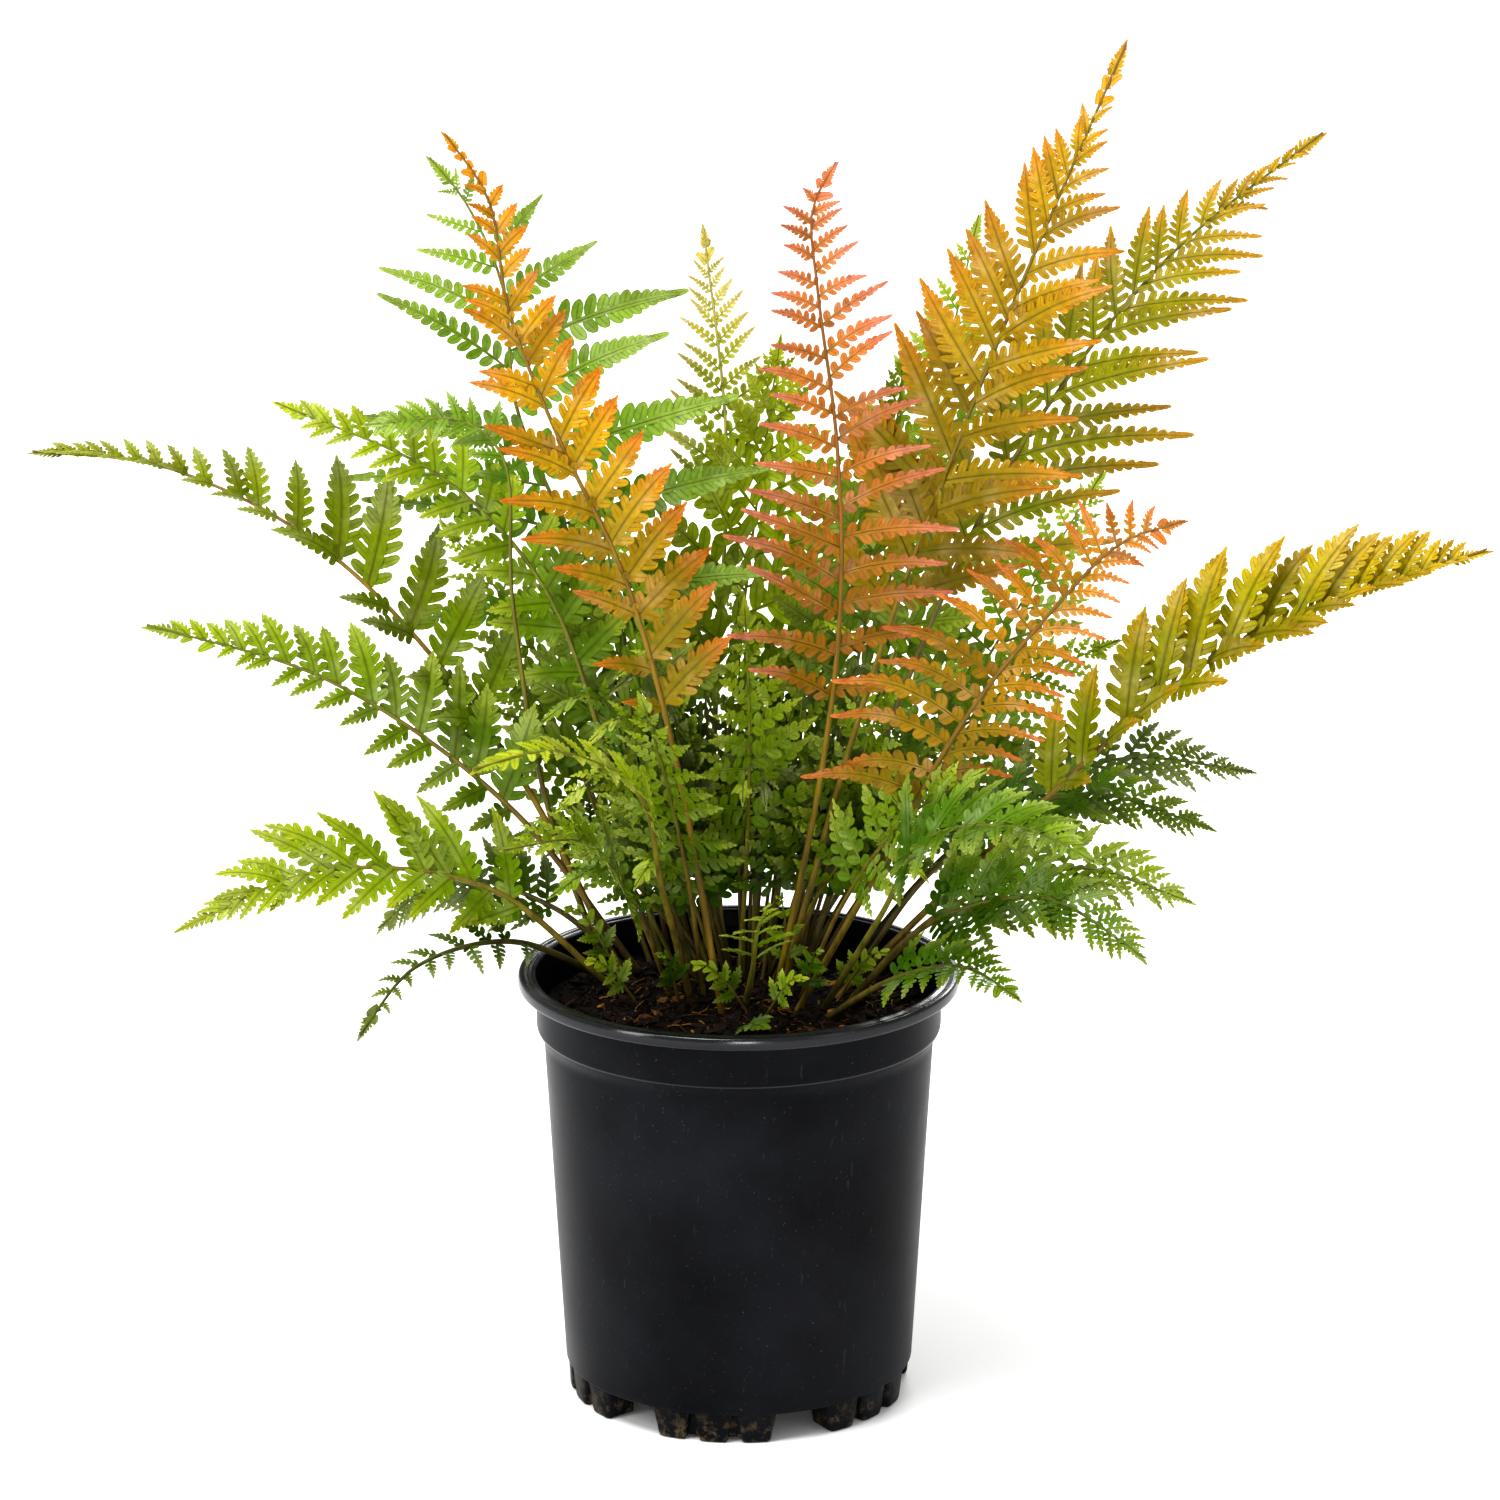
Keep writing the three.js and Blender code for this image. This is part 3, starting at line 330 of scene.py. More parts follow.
        path=[(-34, 49), (-50, 63, 193), (-68, 79, 233), (-93, 95, 261)]),
    "centre": dict(
        pairs=4, longest=38, face=(0.5, -0.8, 0.2), palette="bright_green",
        path=[(0, 24), (3, 10, 207), (4, -6, 263), (2, -20, 311)]),
    "centre_right": dict(
        pairs=4, longest=36, face=(-0.6, -0.8, 0.3),
        path=[(17, 24), (33, 19, 197), (47, 14, 244), (58, 10, 284)]),
    "crown_young": dict(
        start=0.45, pairs=3, longest=18, palette="bright_green",
        path=[(2, -7), (5, -39, 175), (7, -71, 201), (11, -100, 220)],
        grows=dict(JOINED, pair_ratio=1.4, broad=(0.3, 0.3))),
    "back_low_left": dict(
        pairs=4, longest=38, face=(0, 0.4, 0.9), grows={},
        path=[(-21, 46), (-34, 88, 189), (-54, 130, 222), (-72, 166, 248)]),
    "back_low_middle": dict(
        start=0.42, pairs=4, longest=40, face=(0, 0.4, 0.9), palette="bright_green", grows={},
        path=[(9, 45), (20, 87, 195), (30, 132, 234), (34, 169, 267)]),
    "back_low_right": dict(
        pairs=4, longest=38, face=(0, 0.4, 0.9), palette="deep_green", grows={},
        path=[(20, 49), (51, 88, 187), (76, 130, 221), (99, 166, 248)]),
}
BENT_FROND = dict(
    start=0.74, longest=15, face=(0, -0.9, 0.4), palette="soft_green",
    path=[(-50, 33), (-73, 44, 216), (-85, 46, 294), (-88, 44, 350), (-103, 50, 362),
          (-140, 62, 358)],
    grows=dict(broad=(0.24, 0.24), thick=0.9, taper=0.5, least=(6, 0)))

# Fronds that only fill the middle of the plant, in two layers: how many, how far they lean out, the
# height of the top ones, how much lower the ones that lean far are, how far forward they may
# lean, where their blades start, and their longest pinnae. Their feet stand within a distance of
# the middle, and their paths rise by shares of reach and height; the far ends sag.
UNDERGROWTH = {
    "turn": 137.5, "middle": (2, 36), "feet": (6, 26), "sag": 420,
    "rise": ((0.3, 0.55), (0.65, 0.95)),
    "layers": (
        dict(count=28, reach=(22, 92), top=325, fall=1.05, forward=-0.35, start=0.36, longest=(26, 38)),
        dict(count=20, reach=(40, 98), top=244, fall=0.42, forward=-0.6, start=0.46, longest=(18, 28)),
    ),
    "palettes": ("mid_green", "deep_green", "bright_green", "deep_green", "mid_green", "dark"),
    "grows": dict(THICKET, thick=0.62, pair_ratio=1.25),
}
# Young leaves over the mix: each one's foot in x and y, its heading from the front towards +X, and
# its height.
CROWN_LEAVES = [
    (4, -14, -70, 22), (10, -16, 40, 20), (24, -10, 15, 30), (36, -2, 60, 24), (-38, 0, -60, 20),
    (-22, -2, -20, 26), (-44, 24, -95, 30), (20, 8, -15, 46), (2, -30, 20, 7),
]
CROWN = {
    "reach": 22, "rise": ((0.4, 0.6), (0.75, 0.95), (1, 1)),
    "palettes": ("mid_green", "bright_green", "deep_green"),
    "grows": dict(thick=0.5, broad=(0.3, 0.3), pair_ratio=0.9, leaflets=(3, 0.2)),
}

# Palettes, in sRGB: the leaf's colour at the foot, the middle and the tip of the blade, the colour
# that its pinnae turn to at their tips, the stem's colour low and high, and that of the leaflets'
# thin edges. The last is the slot for the finish.
Palette = namedtuple("Palette", "foot middle end tips stem_low stem_high edge slot")
PALETTES = {
    "coral": Palette("a07c1c", "d6904a", "da8e62", "e89684", "7a6818", "8a5428", "a24a28", "frond_coral"),
    "orange": Palette("94840e", "d4aa1c", "dc9c28", "de8032", "80681c", "765a1c", "ac5a12", "frond_amber"),
    "gold": Palette("8e800c", "b89814", "d4a832", "d48c34", "7c6c1c", "70601e", "9c660e", "frond_gold"),
    "gold_green": Palette(
        "848e0e", "a49e18", "d8ac38", "dca040", "6c6230", "68661e", "8a6c12", "frond_gold"),
    "orange_coral": Palette(
        "948212", "be921c", "ca8638", "da804c", "746420", "785828", "a2521e", "frond_coral"),
    "yellow_olive": Palette(
        "848c0c", "b2a614", "d0b428", "d0a634", "74601e", "745e1e", "7c6a0c", "frond_olive"),
    "glossy_green": Palette(
        "70860e", "909c18", "9c9c2c", "b0ba70", "78641e", "76602a", "5c6c10", "frond_olive"),
    "mid_green": Palette(
        "647e0e", "869c14", "a4b224", "b6c058", "72602e", "62681c", "42580c", "frond_green"),
    "deep_green": Palette(
        "4c6e0a", "66880e", "8a9e20", "a4b040", "645a28", "566418", "2e4a0a", "frond_green"),
    "bright_green": Palette(
        "728f12", "96ab1c", "b0ba2c", "c0c650", "6e6828", "6a741c", "4e6c0c", "frond_bright"),
    "lime": Palette("7a9410", "9aac1a", "acb622", "bac03c", "786a2a", "74781e", "5e7a10", "frond_bright"),
    "fresh": Palette("94a81a", "b0bc24", "bec62e", "c8cc50", "786a2a", "74781e", "6e8810", "frond_bright"),
    "soft_green": Palette(
        "64861a", "84a030", "98ae40", "a8b860", "6a6024", "687024", "507018", "frond_green"),
    "glossy_light": Palette(
        "547812", "72901e", "92a632", "aebc5c", "686428", "627420", "426414", "frond_green"),
    "dark": Palette("4e6614", "687a26", "848e40", "a6ac74", "565028", "4e5822", "304812", "frond_dark"),
    "cream": Palette("86a024", "b8b64c", "d4c272", "d8c488", "7c783c", "a09a50", "aca44c", "frond_cream"),
}
# Noise scales: how many waves a metre the materials' patches, painted sheen, grain and bumps have.
GRAIN = {
    "leaf_patches": 38, "leaf_painted_sheen": 75, "leaf_gloss": 160, "leaf_mottle": 420, "leaf_veins": 900,
    "stem_streaks": 240, "bark": 700, "pot_smudges": 18, "pot_dirt": 260, "pot_scratches": 420,
    "pot_specks": 1300, "pot_fine": 1500,
}

# ---------------------------------------------------------------- floor, light and camera, in m

FLOOR = {"reach": 12.0, "grey": 0.84, "bright_from": 0.35, "bright_to": 2.5, "glow": 0.5}
WORLD_LIGHT = 0.6
# Each light's place, the height on the axis that it points to, its sides and its power in watts.
LIGHTS = {
    "strip": ((-1.15, -0.8, 0.75), 0.2, (0.35, 1.3), 11),
    "top": ((-0.5, -0.5, 2.0), 0.2, (0.8, 0.8), 24),
    "back": ((0.4, 1.5, 1.2), 0.3, (0.8, 0.8), 18),
    "side": ((1.3, -1.1, 0.9), 0.2, (0.5, 1.2), 2),
    "front": ((0.1, -2.1, 0.3), 0.1, (0.4, 0.9), 14),
}
# The photograph's view: from the front, looking a little down.
CAMERA = {"place": (0.0042, -1.798, 0.741), "down": 15.32, "sensor": 36, "lens": 121.2,
          "clip": (0.05, 60)}

# ---------------------------------------------------------------- meshes

VALUES = ("blade", "reach", "margin", "tone")


def unit(vectors):
    return vectors / np.linalg.norm(vectors, axis=-1, keepdims=True)


def mix(low, high, share):
    return low + (high - low) * share


class Body:
    """Points, triangles and values of one piece, gathered in millimetres before its mesh is made."""

    def __init__(self):
        self.points = []
        self.faces = []
        self.slots = []
        self.under = []
        self.values = {name: [] for name in VALUES}
        self.count = 0

    def add(self, points, faces, slot=0, under=0.0, **values):
        """Adds points and triangles; each value is one number or one for each point."""
        points = np.asarray(points, float).reshape(-1, 3)
        faces = np.asarray(faces, int).reshape(-1, 3)
        self.points.append(points)
        self.faces.append(faces + self.count)
        self.slots.append(np.full(len(faces), slot))
        self.under.append(np.broadcast_to(under, len(faces)))
        for name in VALUES:
            value = np.asarray(values.get(name, 0.0), float).ravel()
            self.values[name].append(np.broadcast_to(value, len(points)))
        self.count += len(points)

    def mesh(self, name, materials, smooth=True, crease=None):
        """The piece as an object. Edges sharper than crease degrees stay sharp."""
        points = np.concatenate(self.points) * MM
        faces = np.concatenate(self.faces)
        data = bpy.data.meshes.new(name)
        data.vertices.add(len(points))
        data.vertices.foreach_set("co", points.astype(np.float32).ravel())
        data.loops.add(faces.size)
        data.loops.foreach_set("vertex_index", faces.astype(np.int32).ravel())
        data.polygons.add(len(faces))
        data.polygons.foreach_set("loop_start", np.arange(0, faces.size, 3, dtype=np.int32))
        data.polygons.foreach_set("material_index", np.concatenate(self.slots).astype(np.int32))
        data.update(calc_edges=True)
        data.polygons.foreach_set("use_smooth", np.full(len(faces), smooth))
        for material in materials:
            data.materials.append(material)
        for value_name, parts in self.values.items():
            layer = data.attributes.new(value_name, "FLOAT", "POINT")
            layer.data.foreach_set("value", np.concatenate(parts).astype(np.float32))
        layer = data.attributes.new("under", "FLOAT", "FACE")
        layer.data.foreach_set("value", np.concatenate(self.under).astype(np.float32))
        if crease is not None:
            data.set_sharp_from_angle(angle=math.radians(crease))
        piece = bpy.data.objects.new(name, data)
        bpy.context.scene.collection.objects.link(piece)
        return piece


def finished(piece, slot, *nodes):
    """The piece rides with the pot and stands for these nodes, which it hides. Its slot is not used."""
    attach(piece, "root")
    if nodes:
        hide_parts(*nodes)
    return piece


def zipped(first, second):
    """Triangles between two lines of (place, point number), from their starts to their ends."""
    faces = []
    i = j = 0
    while i < len(first) - 1 or j < len(second) - 1:
        first_next = i < len(first) - 1 and (
            j == len(second) - 1 or first[i + 1][0] <= second[j + 1][0])
        if first_next:
            faces.append((first[i][1], second[j][1], first[i + 1][1]))
            i += 1
        else:
            faces.append((first[i][1], second[j][1], second[j + 1][1]))
            j += 1
    return [face for face in faces if len(set(face)) == 3]


def leaflet_form(edge, rib):
    """A leaflet as a thin lens. edge lists (place, half width) from its foot, rib lists places; all
    are shares of its length and width. Its rib has a point on each face, and its edge is sharp."""
    tip = 0
    place, across, height = [1.0], [0.0], [0.0]

    def point(s, w, h):
        place.append(s)
        across.append(w)
        height.append(h)
        return s, len(place) - 1

    end = (1.0, tip)
    right = [point(s, w, 0) for s, w in edge] + [end]
    left = [point(s, -w, 0) for s, w in edge] + [end]
    top = [point(s, 0, 1) for s in rib] + [end]
    bottom = [point(s, 0, -1) for s in rib] + [end]
    upper = zipped(top, right) + [face[::-1] for face in zipped(top, left)]
    lower = [face[::-1] for face in zipped(bottom, right)] + zipped(bottom, left)
    upper.append((right[0][1], top[0][1], left[0][1]))
    lower.append((left[0][1], bottom[0][1], right[0][1]))
    return {
        "place": np.array(place), "across": np.array(across), "height": np.array(height),
        "faces": np.array(upper + lower),
        "under": np.r_[np.zeros(len(upper)), np.ones(len(lower))],
    }


TOOTHED = leaflet_form(
    [(0, 0.86), (0.1, 0.92), (0.2, 0.9), (0.32, 1.0), (0.4, 0.94), (0.52, 1.02), (0.6, 0.94),
     (0.71, 0.97), (0.79, 0.84), (0.87, 0.78), (0.93, 0.58), (0.98, 0.36)],
    [0, 0.25, 0.5, 0.75, 0.93])
PLAIN = leaflet_form([(0, 0.9), (0.35, 1.0), (0.66, 0.93), (0.86, 0.68), (0.97, 0.3)], [0, 0.4, 0.8])
OVAL = leaflet_form([(0, 0.4), (0.14, 0.72), (0.38, 0.98), (0.66, 1.0), (0.87, 0.72), (0.97, 0.3)],
                    [0, 0.4, 0.8])
LARGE_LEAFLET = 4.2
LEAFLET_THICKNESS = 0.16  # half of it, at the rib
LEAFLET_REACH = 0.12  # how much further out than its foot a leaflet's tip takes its colour from


def add_leaflets(body, foot, direction, normal, length, half_width, fuse, fold, curl, sweep, blade,
                 reach, tone, oval=False):
    """Adds one leaflet for each row of the arrays. fuse widens its foot into its neighbours, fold
    sinks the rib below the edges, curl bends the tip back off the face, sweep is the way that the
    tip is drawn along the blade, and an oval one narrows to its foot."""
    large = length > LARGE_LEAFLET
    oval = np.broadcast_to(oval, len(length))
    for form, chosen in ((OVAL, oval), (TOOTHED, large & ~oval), (PLAIN, ~large & ~oval)):
        if not chosen.any():
            continue
        pick = np.nonzero(chosen)[0]
        s, w, h = [form[name][:, None] for name in ("place", "across", "height")]
        start, d, n, drawn = [rows[pick][:, None] for rows in (foot, direction, normal, sweep)]
        size, width, fused, folded, curled = [
            rows[pick][:, None, None] for rows in (length, half_width, fuse, fold, curl)]
        width = width * (1 + fused * (1 - s) ** 2)
        depth = h * LEAFLET_THICKNESS - folded * width * np.abs(h)
        points = (start + d * size * s + np.cross(d, n) * width * w
                  + n * (depth - curled * size * s ** 2) + drawn * size * s ** 2)
        rows, corners = len(pick), len(s)
        faces = form["faces"][None] + (np.arange(rows) * corners)[:, None, None]
        body.add(
            points, faces, slot=0, under=np.tile(form["under"], rows),
            blade=np.repeat(blade[pick], corners),
            reach=(reach[pick][:, None] + LEAFLET_REACH * form["place"]).ravel(),
            margin=np.tile(1 - np.abs(form["height"]), rows),
            tone=np.repeat(tone[pick], corners))


def band_faces(rings, sides, turn=1):
    """Triangles between rings of points. turn is the side on which a point's neighbour is, and
    so the way that the squares are cut."""
    row = np.arange(rings - 1)[:, None] * sides
    a = row + np.arange(sides)
    b = row + (np.arange(sides) + turn) % sides
    return np.concatenate([
        np.stack([a, a + sides, b], -1).reshape(-1, 3),
        np.stack([b, a + sides, b + sides], -1).reshape(-1, 3)])


def add_tube(body, points, normals, radii, sides, slot, **values):
    """A round stem through points, closed at both ends."""
    steps = np.gradient(points, axis=0)
    along = unit(steps)
    up = unit(normals - along * np.sum(normals * along, axis=1, keepdims=True))
    across = np.cross(along, up)
    turn = np.arange(sides) * 2 * math.pi / sides
    ring = (across[:, None] * np.cos(turn)[None, :, None] + up[:, None] * np.sin(turn)[None, :, None])
    shell = points[:, None] + ring * np.asarray(radii)[:, None, None]
    rings = len(points)
    k = np.arange(sides)
    last = (rings - 1) * sides
    start = np.stack([np.full(sides, rings * sides), k, (k + 1) % sides], -1)
    stop = np.stack([np.full(sides, rings * sides + 1), last + (k + 1) % sides, last + k], -1)
    everything = np.concatenate([shell.reshape(-1, 3), points[[0, -1]]])
    spread = {}
    for name, value in values.items():
        value = np.broadcast_to(np.asarray(value, float), rings)
        spread[name] = np.r_[np.repeat(value, sides), value[0], value[-1]]
    body.add(everything, np.concatenate([band_faces(rings, sides), start, stop]), slot=slot, **spread)


# ---------------------------------------------------------------- fronds

class Stem:
    """A frond's stem as a smooth curve through its points, by its length, as in the solids."""

    SAMPLES = 200

    def __init__(self, frond):
        path = [tuple(p) if len(p) == 3 else (*p, FERN["root_height"]) for p in frond["path"]]
        self.nodes = np.array(path, float)
        self.face = unit(np.array(frond["face"], float))
        t = np.linspace(0, 1, self.SAMPLES + 1)
        points = np.array([self._point(x) for x in t])
        lengths = np.r_[0, np.cumsum(np.linalg.norm(np.diff(points, axis=0), axis=1))]
        self.length = lengths[-1]
        self._share, self._t = lengths / lengths[-1], t

    def _point(self, t):
        nodes, last = self.nodes, len(self.nodes) - 1
        i = min(int(t * last), last - 1)
        x = t * last - i
        p1, p2 = nodes[i], nodes[i + 1]
        p0 = nodes[i - 1] if i > 0 else 2 * nodes[0] - nodes[1]
        p3 = nodes[i + 2] if i + 2 <= last else 2 * nodes[-1] - nodes[-2]
        d0, d1, d2 = [math.dist(a, b) ** 0.5 for a, b in ((p0, p1), (p1, p2), (p2, p3))]
        t1 = ((p1 - p0) / d0 - (p2 - p0) / (d0 + d1) + (p2 - p1) / d1) * d1
        t2 = ((p2 - p1) / d1 - (p3 - p1) / (d1 + d2) + (p3 - p2) / d2) * d1
        return p1 + t1 * x + (-3 * p1 + 3 * p2 - 2 * t1 - t2) * x ** 2 + (
            2 * p1 - 2 * p2 + t1 + t2) * x ** 3

    def at(self, u):
        return self._point(float(np.interp(u, self._share, self._t)))

    def frame(self, u):
        step = 1e-3
        along = unit(self.at(min(u + step, 1)) - self.at(max(u - step, 0)))
        up = unit(self.face - along * (self.face @ along))
        return along, up, np.cross(along, up)

    def radius(self, u):
        return mix(FINE["tip_radius"], FINE["stalk_radius"], 1 - np.asarray(u))


def of_side(pair, side):
    return pair[1 if side > 0 else 0]


def pinna_length(frond, v, taper, tip=(1, 0)):
    share, sharp = tip
    full = frond["longest"] * min(1, FERN["foot_share"] + v)
    return full * (1 - v) ** taper * min(1, (1 - v) / share) ** sharp


def pinna_line(frond, stem, v, side, lift, stretch, turn=0.0, taper=FERN["blade_taper"], tip=(1, 0)):
    """Where a pinna grows from, its first direction, the face's normal there and its length."""
    along, up, across = stem.frame(mix(frond["start"], 1, v))
    length = pinna_length(frond, v, taper, tip) * stretch * of_side(frond["sides"], side)
    angle = math.radians(mix(*frond["angles"], v) + turn)
    out = unit(along * math.cos(angle) + across * side * math.sin(angle)
               + up * (frond["raised"] + lift))
    return stem.at(mix(frond["start"], 1, v)), out, up, length, along


def by_length(share_and_least, length):
    share, least = share_and_least
    return share * length + least


def bend_of(along):
    return along * FERN["forward_curve"] + np.array([0, 0, -FERN["droop"]])


def solid_pinnae(node_name, frond, stem, side):
    """The places, lifts and lengths that the solid frond's pinnae have, read off its corners."""
    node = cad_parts[node_name]
    corners = np.empty(len(node.data.vertices) * 3, np.float32)
    node.data.vertices.foreach_get("co", corners)
    corners = corners.reshape(-1, 3) / MM
    places, lifts, lengths = [], [], []
    for j in range(frond["pairs"]):
        step = (j + (FERN["alternate"] if side > 0 else 0)) / (frond["pairs"] + FERN["tip_pairs"])
        v = 1 - (1 - step) ** FERN["crowding"]
        found = None
        for stretch in LENGTHS:
            for lift in LIFTS:
                foot, out, _, length, along = pinna_line(frond, stem, v, side, lift, stretch)
                tip = foot + (out + bend_of(along)) * length
                gap = np.min(np.linalg.norm(corners - tip, axis=1))
                if gap < FINE["matched"] and (found is None or gap < found[0]):
                    found = (gap, lift, stretch)
        places.append(v)
        lifts.append(found[1] if found else 0.0)
        lengths.append(found[2] if found else FINE["unmatched"])
    return np.array(places), np.array(lifts), np.array(lengths)


def add_wing(body, points, normals, edges, v, reach, tone):
    """The strip of blade along a pinna's rib, between its leaflets. edges are its two sides."""
    rows = len(points)
    thick = normals * FINE["wing_thickness"]
    shell = np.stack([points + thick, edges[1], points - thick, edges[0]], 1)
    faces = band_faces(rows, 4)[:, ::-1]
    last = (rows - 1) * 4
    ends = [(0, 2, 1), (0, 3, 2), (last, last + 1, last + 2), (last, last + 2, last + 3)]
    under = np.r_[np.tile(np.tile([0, 1, 1, 0], rows - 1), 2), np.zeros(4)]
    body.add(shell, np.concatenate([faces, ends]), under=under, blade=v, reach=np.repeat(reach, 4),
             margin=np.tile([0, 0.5, 0, 0.5], rows), tone=tone)


def add_pinna(body, rng, foot, out, up, length, along, v, tone, broad, growth):
    """A pinna: a thin rib with rows of toothed leaflets on both sides and one at its tip."""
    arch = np.array([0, 0, growth["arch"] + rng.normal(0, STRAY["arch"])]) * (np.linalg.norm(along) > 0)
    bend = bend_of(along) - arch + rng.normal(0, STRAY["bend"], 3)
    out = out + arch
    up = unit(up + np.array(FINE["facing"]) + rng.normal(0, STRAY["facing"], 3))

    def rib(x):
        return foot + (out * x[:, None] + bend * (x ** 2)[:, None]) * length

    def turned(x):
        direction = unit(out + 2 * bend * x[:, None])
        normal = unit(up - direction * (direction @ up)[:, None])
        return direction, normal, np.cross(direction, normal)

    def half_width(x):
        widest = broad * length * (FINE["whole_width"] / length) ** growth["slim"]
        bow, sharp = growth["point"]
        first, more = FINE["foot_width"]
        return widest * (1 - x ** bow) ** sharp * np.clip(first + more * x, 0, 1)

    if length < FINE["small_pinna"]:
        one = np.ones(1)
        direction, normal, _ = turned(one * SINGLE["place"])
        add_leaflets(
            body, foot[None], direction, normal, one * length,
            one * by_length(SINGLE["width"], length), one * SINGLE["fuse"], one * SINGLE["fold"],
            one * SINGLE["curl"], bend[None] * SINGLE["sweep"], one * v, one * SINGLE["reach"],
            one * tone)
        return
    least, more = growth["leaflets"]
    count = min(round(least + more * length), FINE["most_leaflets"])
    whole = np.clip((growth["fused"] - length) / FINE["freed"], 0, 1)
    raised = {side: rng.normal(*STRAY["raise"]) for side in (-1, 1)}
    leaflets = []
    for side, raise_by in raised.items():
        k = np.arange(count) + of_side(FINE["first_leaflet"], side)
        x = 1 - (1 - k / (count + FINE["last_gap"])) ** FINE["leaflet_crowding"]
        direction, normal, across = turned(x)
        angle = np.radians(mix(*FINE["leaflet_angles"], x) + rng.normal(0, STRAY["angle"], count))
        outward = across * side * math.cos(raise_by) + normal * math.sin(raise_by)
        leaf = direction * np.cos(angle)[:, None] + outward * np.sin(angle)[:, None]
        face = normal * math.cos(raise_by) - across * side * math.sin(raise_by)
        reach = half_width(x) / np.sin(angle) * rng.normal(1, STRAY["length"], count)
        step = np.gradient(x) * length
        fill = mix(*growth["fill"], np.clip(x * FINE["filled"], 0, 1))
        leaflets.append((
            rib(x), leaf, face, np.maximum(reach, FINE["least_leaflet"]),
            np.maximum(fill * step / 2 * np.sin(angle), FINE["least_half_width"]), x,
            tone + rng.normal(0, STRAY["leaflet_tone"], count)))
    x = np.array([FINE["tip_leaflet"]])
    direction, normal, _ = turned(x)
    leaflets.append((
        rib(x), direction, normal, np.full(1, by_length(FINE["tip_length"], length)),
        np.full(1, by_length(FINE["tip_width"], length)), x, np.full(1, tone)))
    feet, directions, normals, sizes, widths, reaches, tones = map(np.concatenate, zip(*leaflets))
    number = len(feet)
    joining, over = FINE["joining"]
    fuse = np.maximum(np.clip((reaches - joining) / over, 0, 1), whole) * FINE["joined"]
    oval = reaches < growth["oval"]
    add_leaflets(
        body, feet, directions, normals, sizes, widths, fuse, rng.normal(*STRAY["fold"], number),
        rng.normal(*STRAY["curl"], number), np.tile(out * FINE["sweep"], (number, 1)),
        np.full(number, v), reaches, tones, oval)

    x = np.linspace(0, FINE["wing_end"], FINE["wing_rows"])
    direction, normal, across = turned(x)
    share = mix(np.interp(x, FINE["wing_places"], growth["wing"]), growth["wing"][-1], whole)
    wing = (half_width(x) * share + FINE["wing_least"])[:, None]
    edges = [
        rib(x) + (across * side * math.cos(raised[side]) + normal * math.sin(raised[side])) * wing
        for side in (-1, 1)]
    add_wing(body, rib(x), normal, edges, v, x, tone)
    x = x[FINE["rib_rows"]]
    thick = FINE["rib_radius"] * (length / FINE["rib_length"]) ** 0.5
    normal = turned(x)[1]
    add_tube(body, rib(x) - normal * FINE["rib_sunk"], normal, mix(thick, FINE["rib_end"], x), 4, 1,
             blade=mix(*FINE["rib_tint"], v), reach=x, tone=tone)


def frond(name, spec, seed, *nodes):
    """A whole frond: its stem from under the mix to its tip, and its pinnae in two rows."""
    rng = np.random.default_rng(seed)
    spec = {**FROND, **spec}
    growth = {**GROWTH, **spec["grows"]}
    stem = Stem(spec)
    body = Body()

    places = np.linspace(0, 1, FINE["stem_rings"])
    points = np.array([stem.at(u) for u in places])
    first = unit(points[1] - points[0])
    points = np.concatenate([[points[0] - first * FERN["root_depth"]], points])
    radii = np.r_[stem.radius(0), stem.radius(places)] * growth["thick"]
    add_tube(body, points, np.tile(stem.face, (len(points), 1)), radii, FINE["stem_sides"], 1,
             blade=np.r_[0, places], tone=rng.normal(*STRAY["frond_tone"]))

    pairs = round((spec["pairs"] + FERN["tip_pairs"]) * growth["pair_ratio"])
    blade_length = stem.length * (1 - spec["start"])
    end_length = min(growth["end"], FINE["end_share"] * blade_length)
    last_place = 1 - FINE["end_clear"] * end_length / blade_length
    closed, late = growth["close"]
    least, more = growth["least"]
    for side in (-1, 1):
        if nodes:
            places, lifts, lengths = solid_pinnae(nodes[0], spec, stem, side)
        else:
            places, lifts, lengths = [0], [0], [1]
        for step in range(pairs):
            step = step + (FERN["alternate"] if side > 0 else 0) + rng.normal(0, STRAY["place"])
            v = 1 - (1 - max(step, 0) / (pairs + FINE["pair_gap"])) ** growth["crowding"]
            if v > last_place:
                continue
            lift = np.interp(v, places, lifts) * growth["lifts"] + rng.normal(0, STRAY["lift"])
            stretch = mix(np.interp(v, places, lengths), 1, FINE["full_reach"])
            stretch *= rng.normal(1, STRAY["pinna_length"])
            stretch *= of_side(growth["sides"], side)
            stretch *= mix(of_side(growth["base"], side), 1, min(1, FINE["base_end"] * v))
            turn = of_side(growth["turn"], side) * (1 - v ** FINE["turn_end"]) - closed * v ** late
            turn += rng.normal(0, STRAY["turn"])
            foot, out, up, length, along = pinna_line(
                spec, stem, v, side, lift, stretch, turn, growth["taper"], growth["tip"])
            length = max(length, least + more * (1 - v))
            add_pinna(body, rng, foot, out, up, length, along, v, rng.normal(*STRAY["pinna_tone"]),
                      of_side(growth["broad"], side), growth)
    end = 1 - FINE["end_reach"] * end_length / stem.length
    along, up, _ = stem.frame(end)
    add_pinna(body, rng, stem.at(end), unit(stem.at(1) - stem.at(end)), up, end_length, along * 0, 1,
              rng.normal(*STRAY["frond_tone"]), FINE["end_broad"], GROWTH)
    palette = spec["palette"]
    piece = body.mesh(name, [leaf_material(palette), stem_material(palette)], crease=50)
    return finished(piece, PALETTES[palette].slot, *nodes)


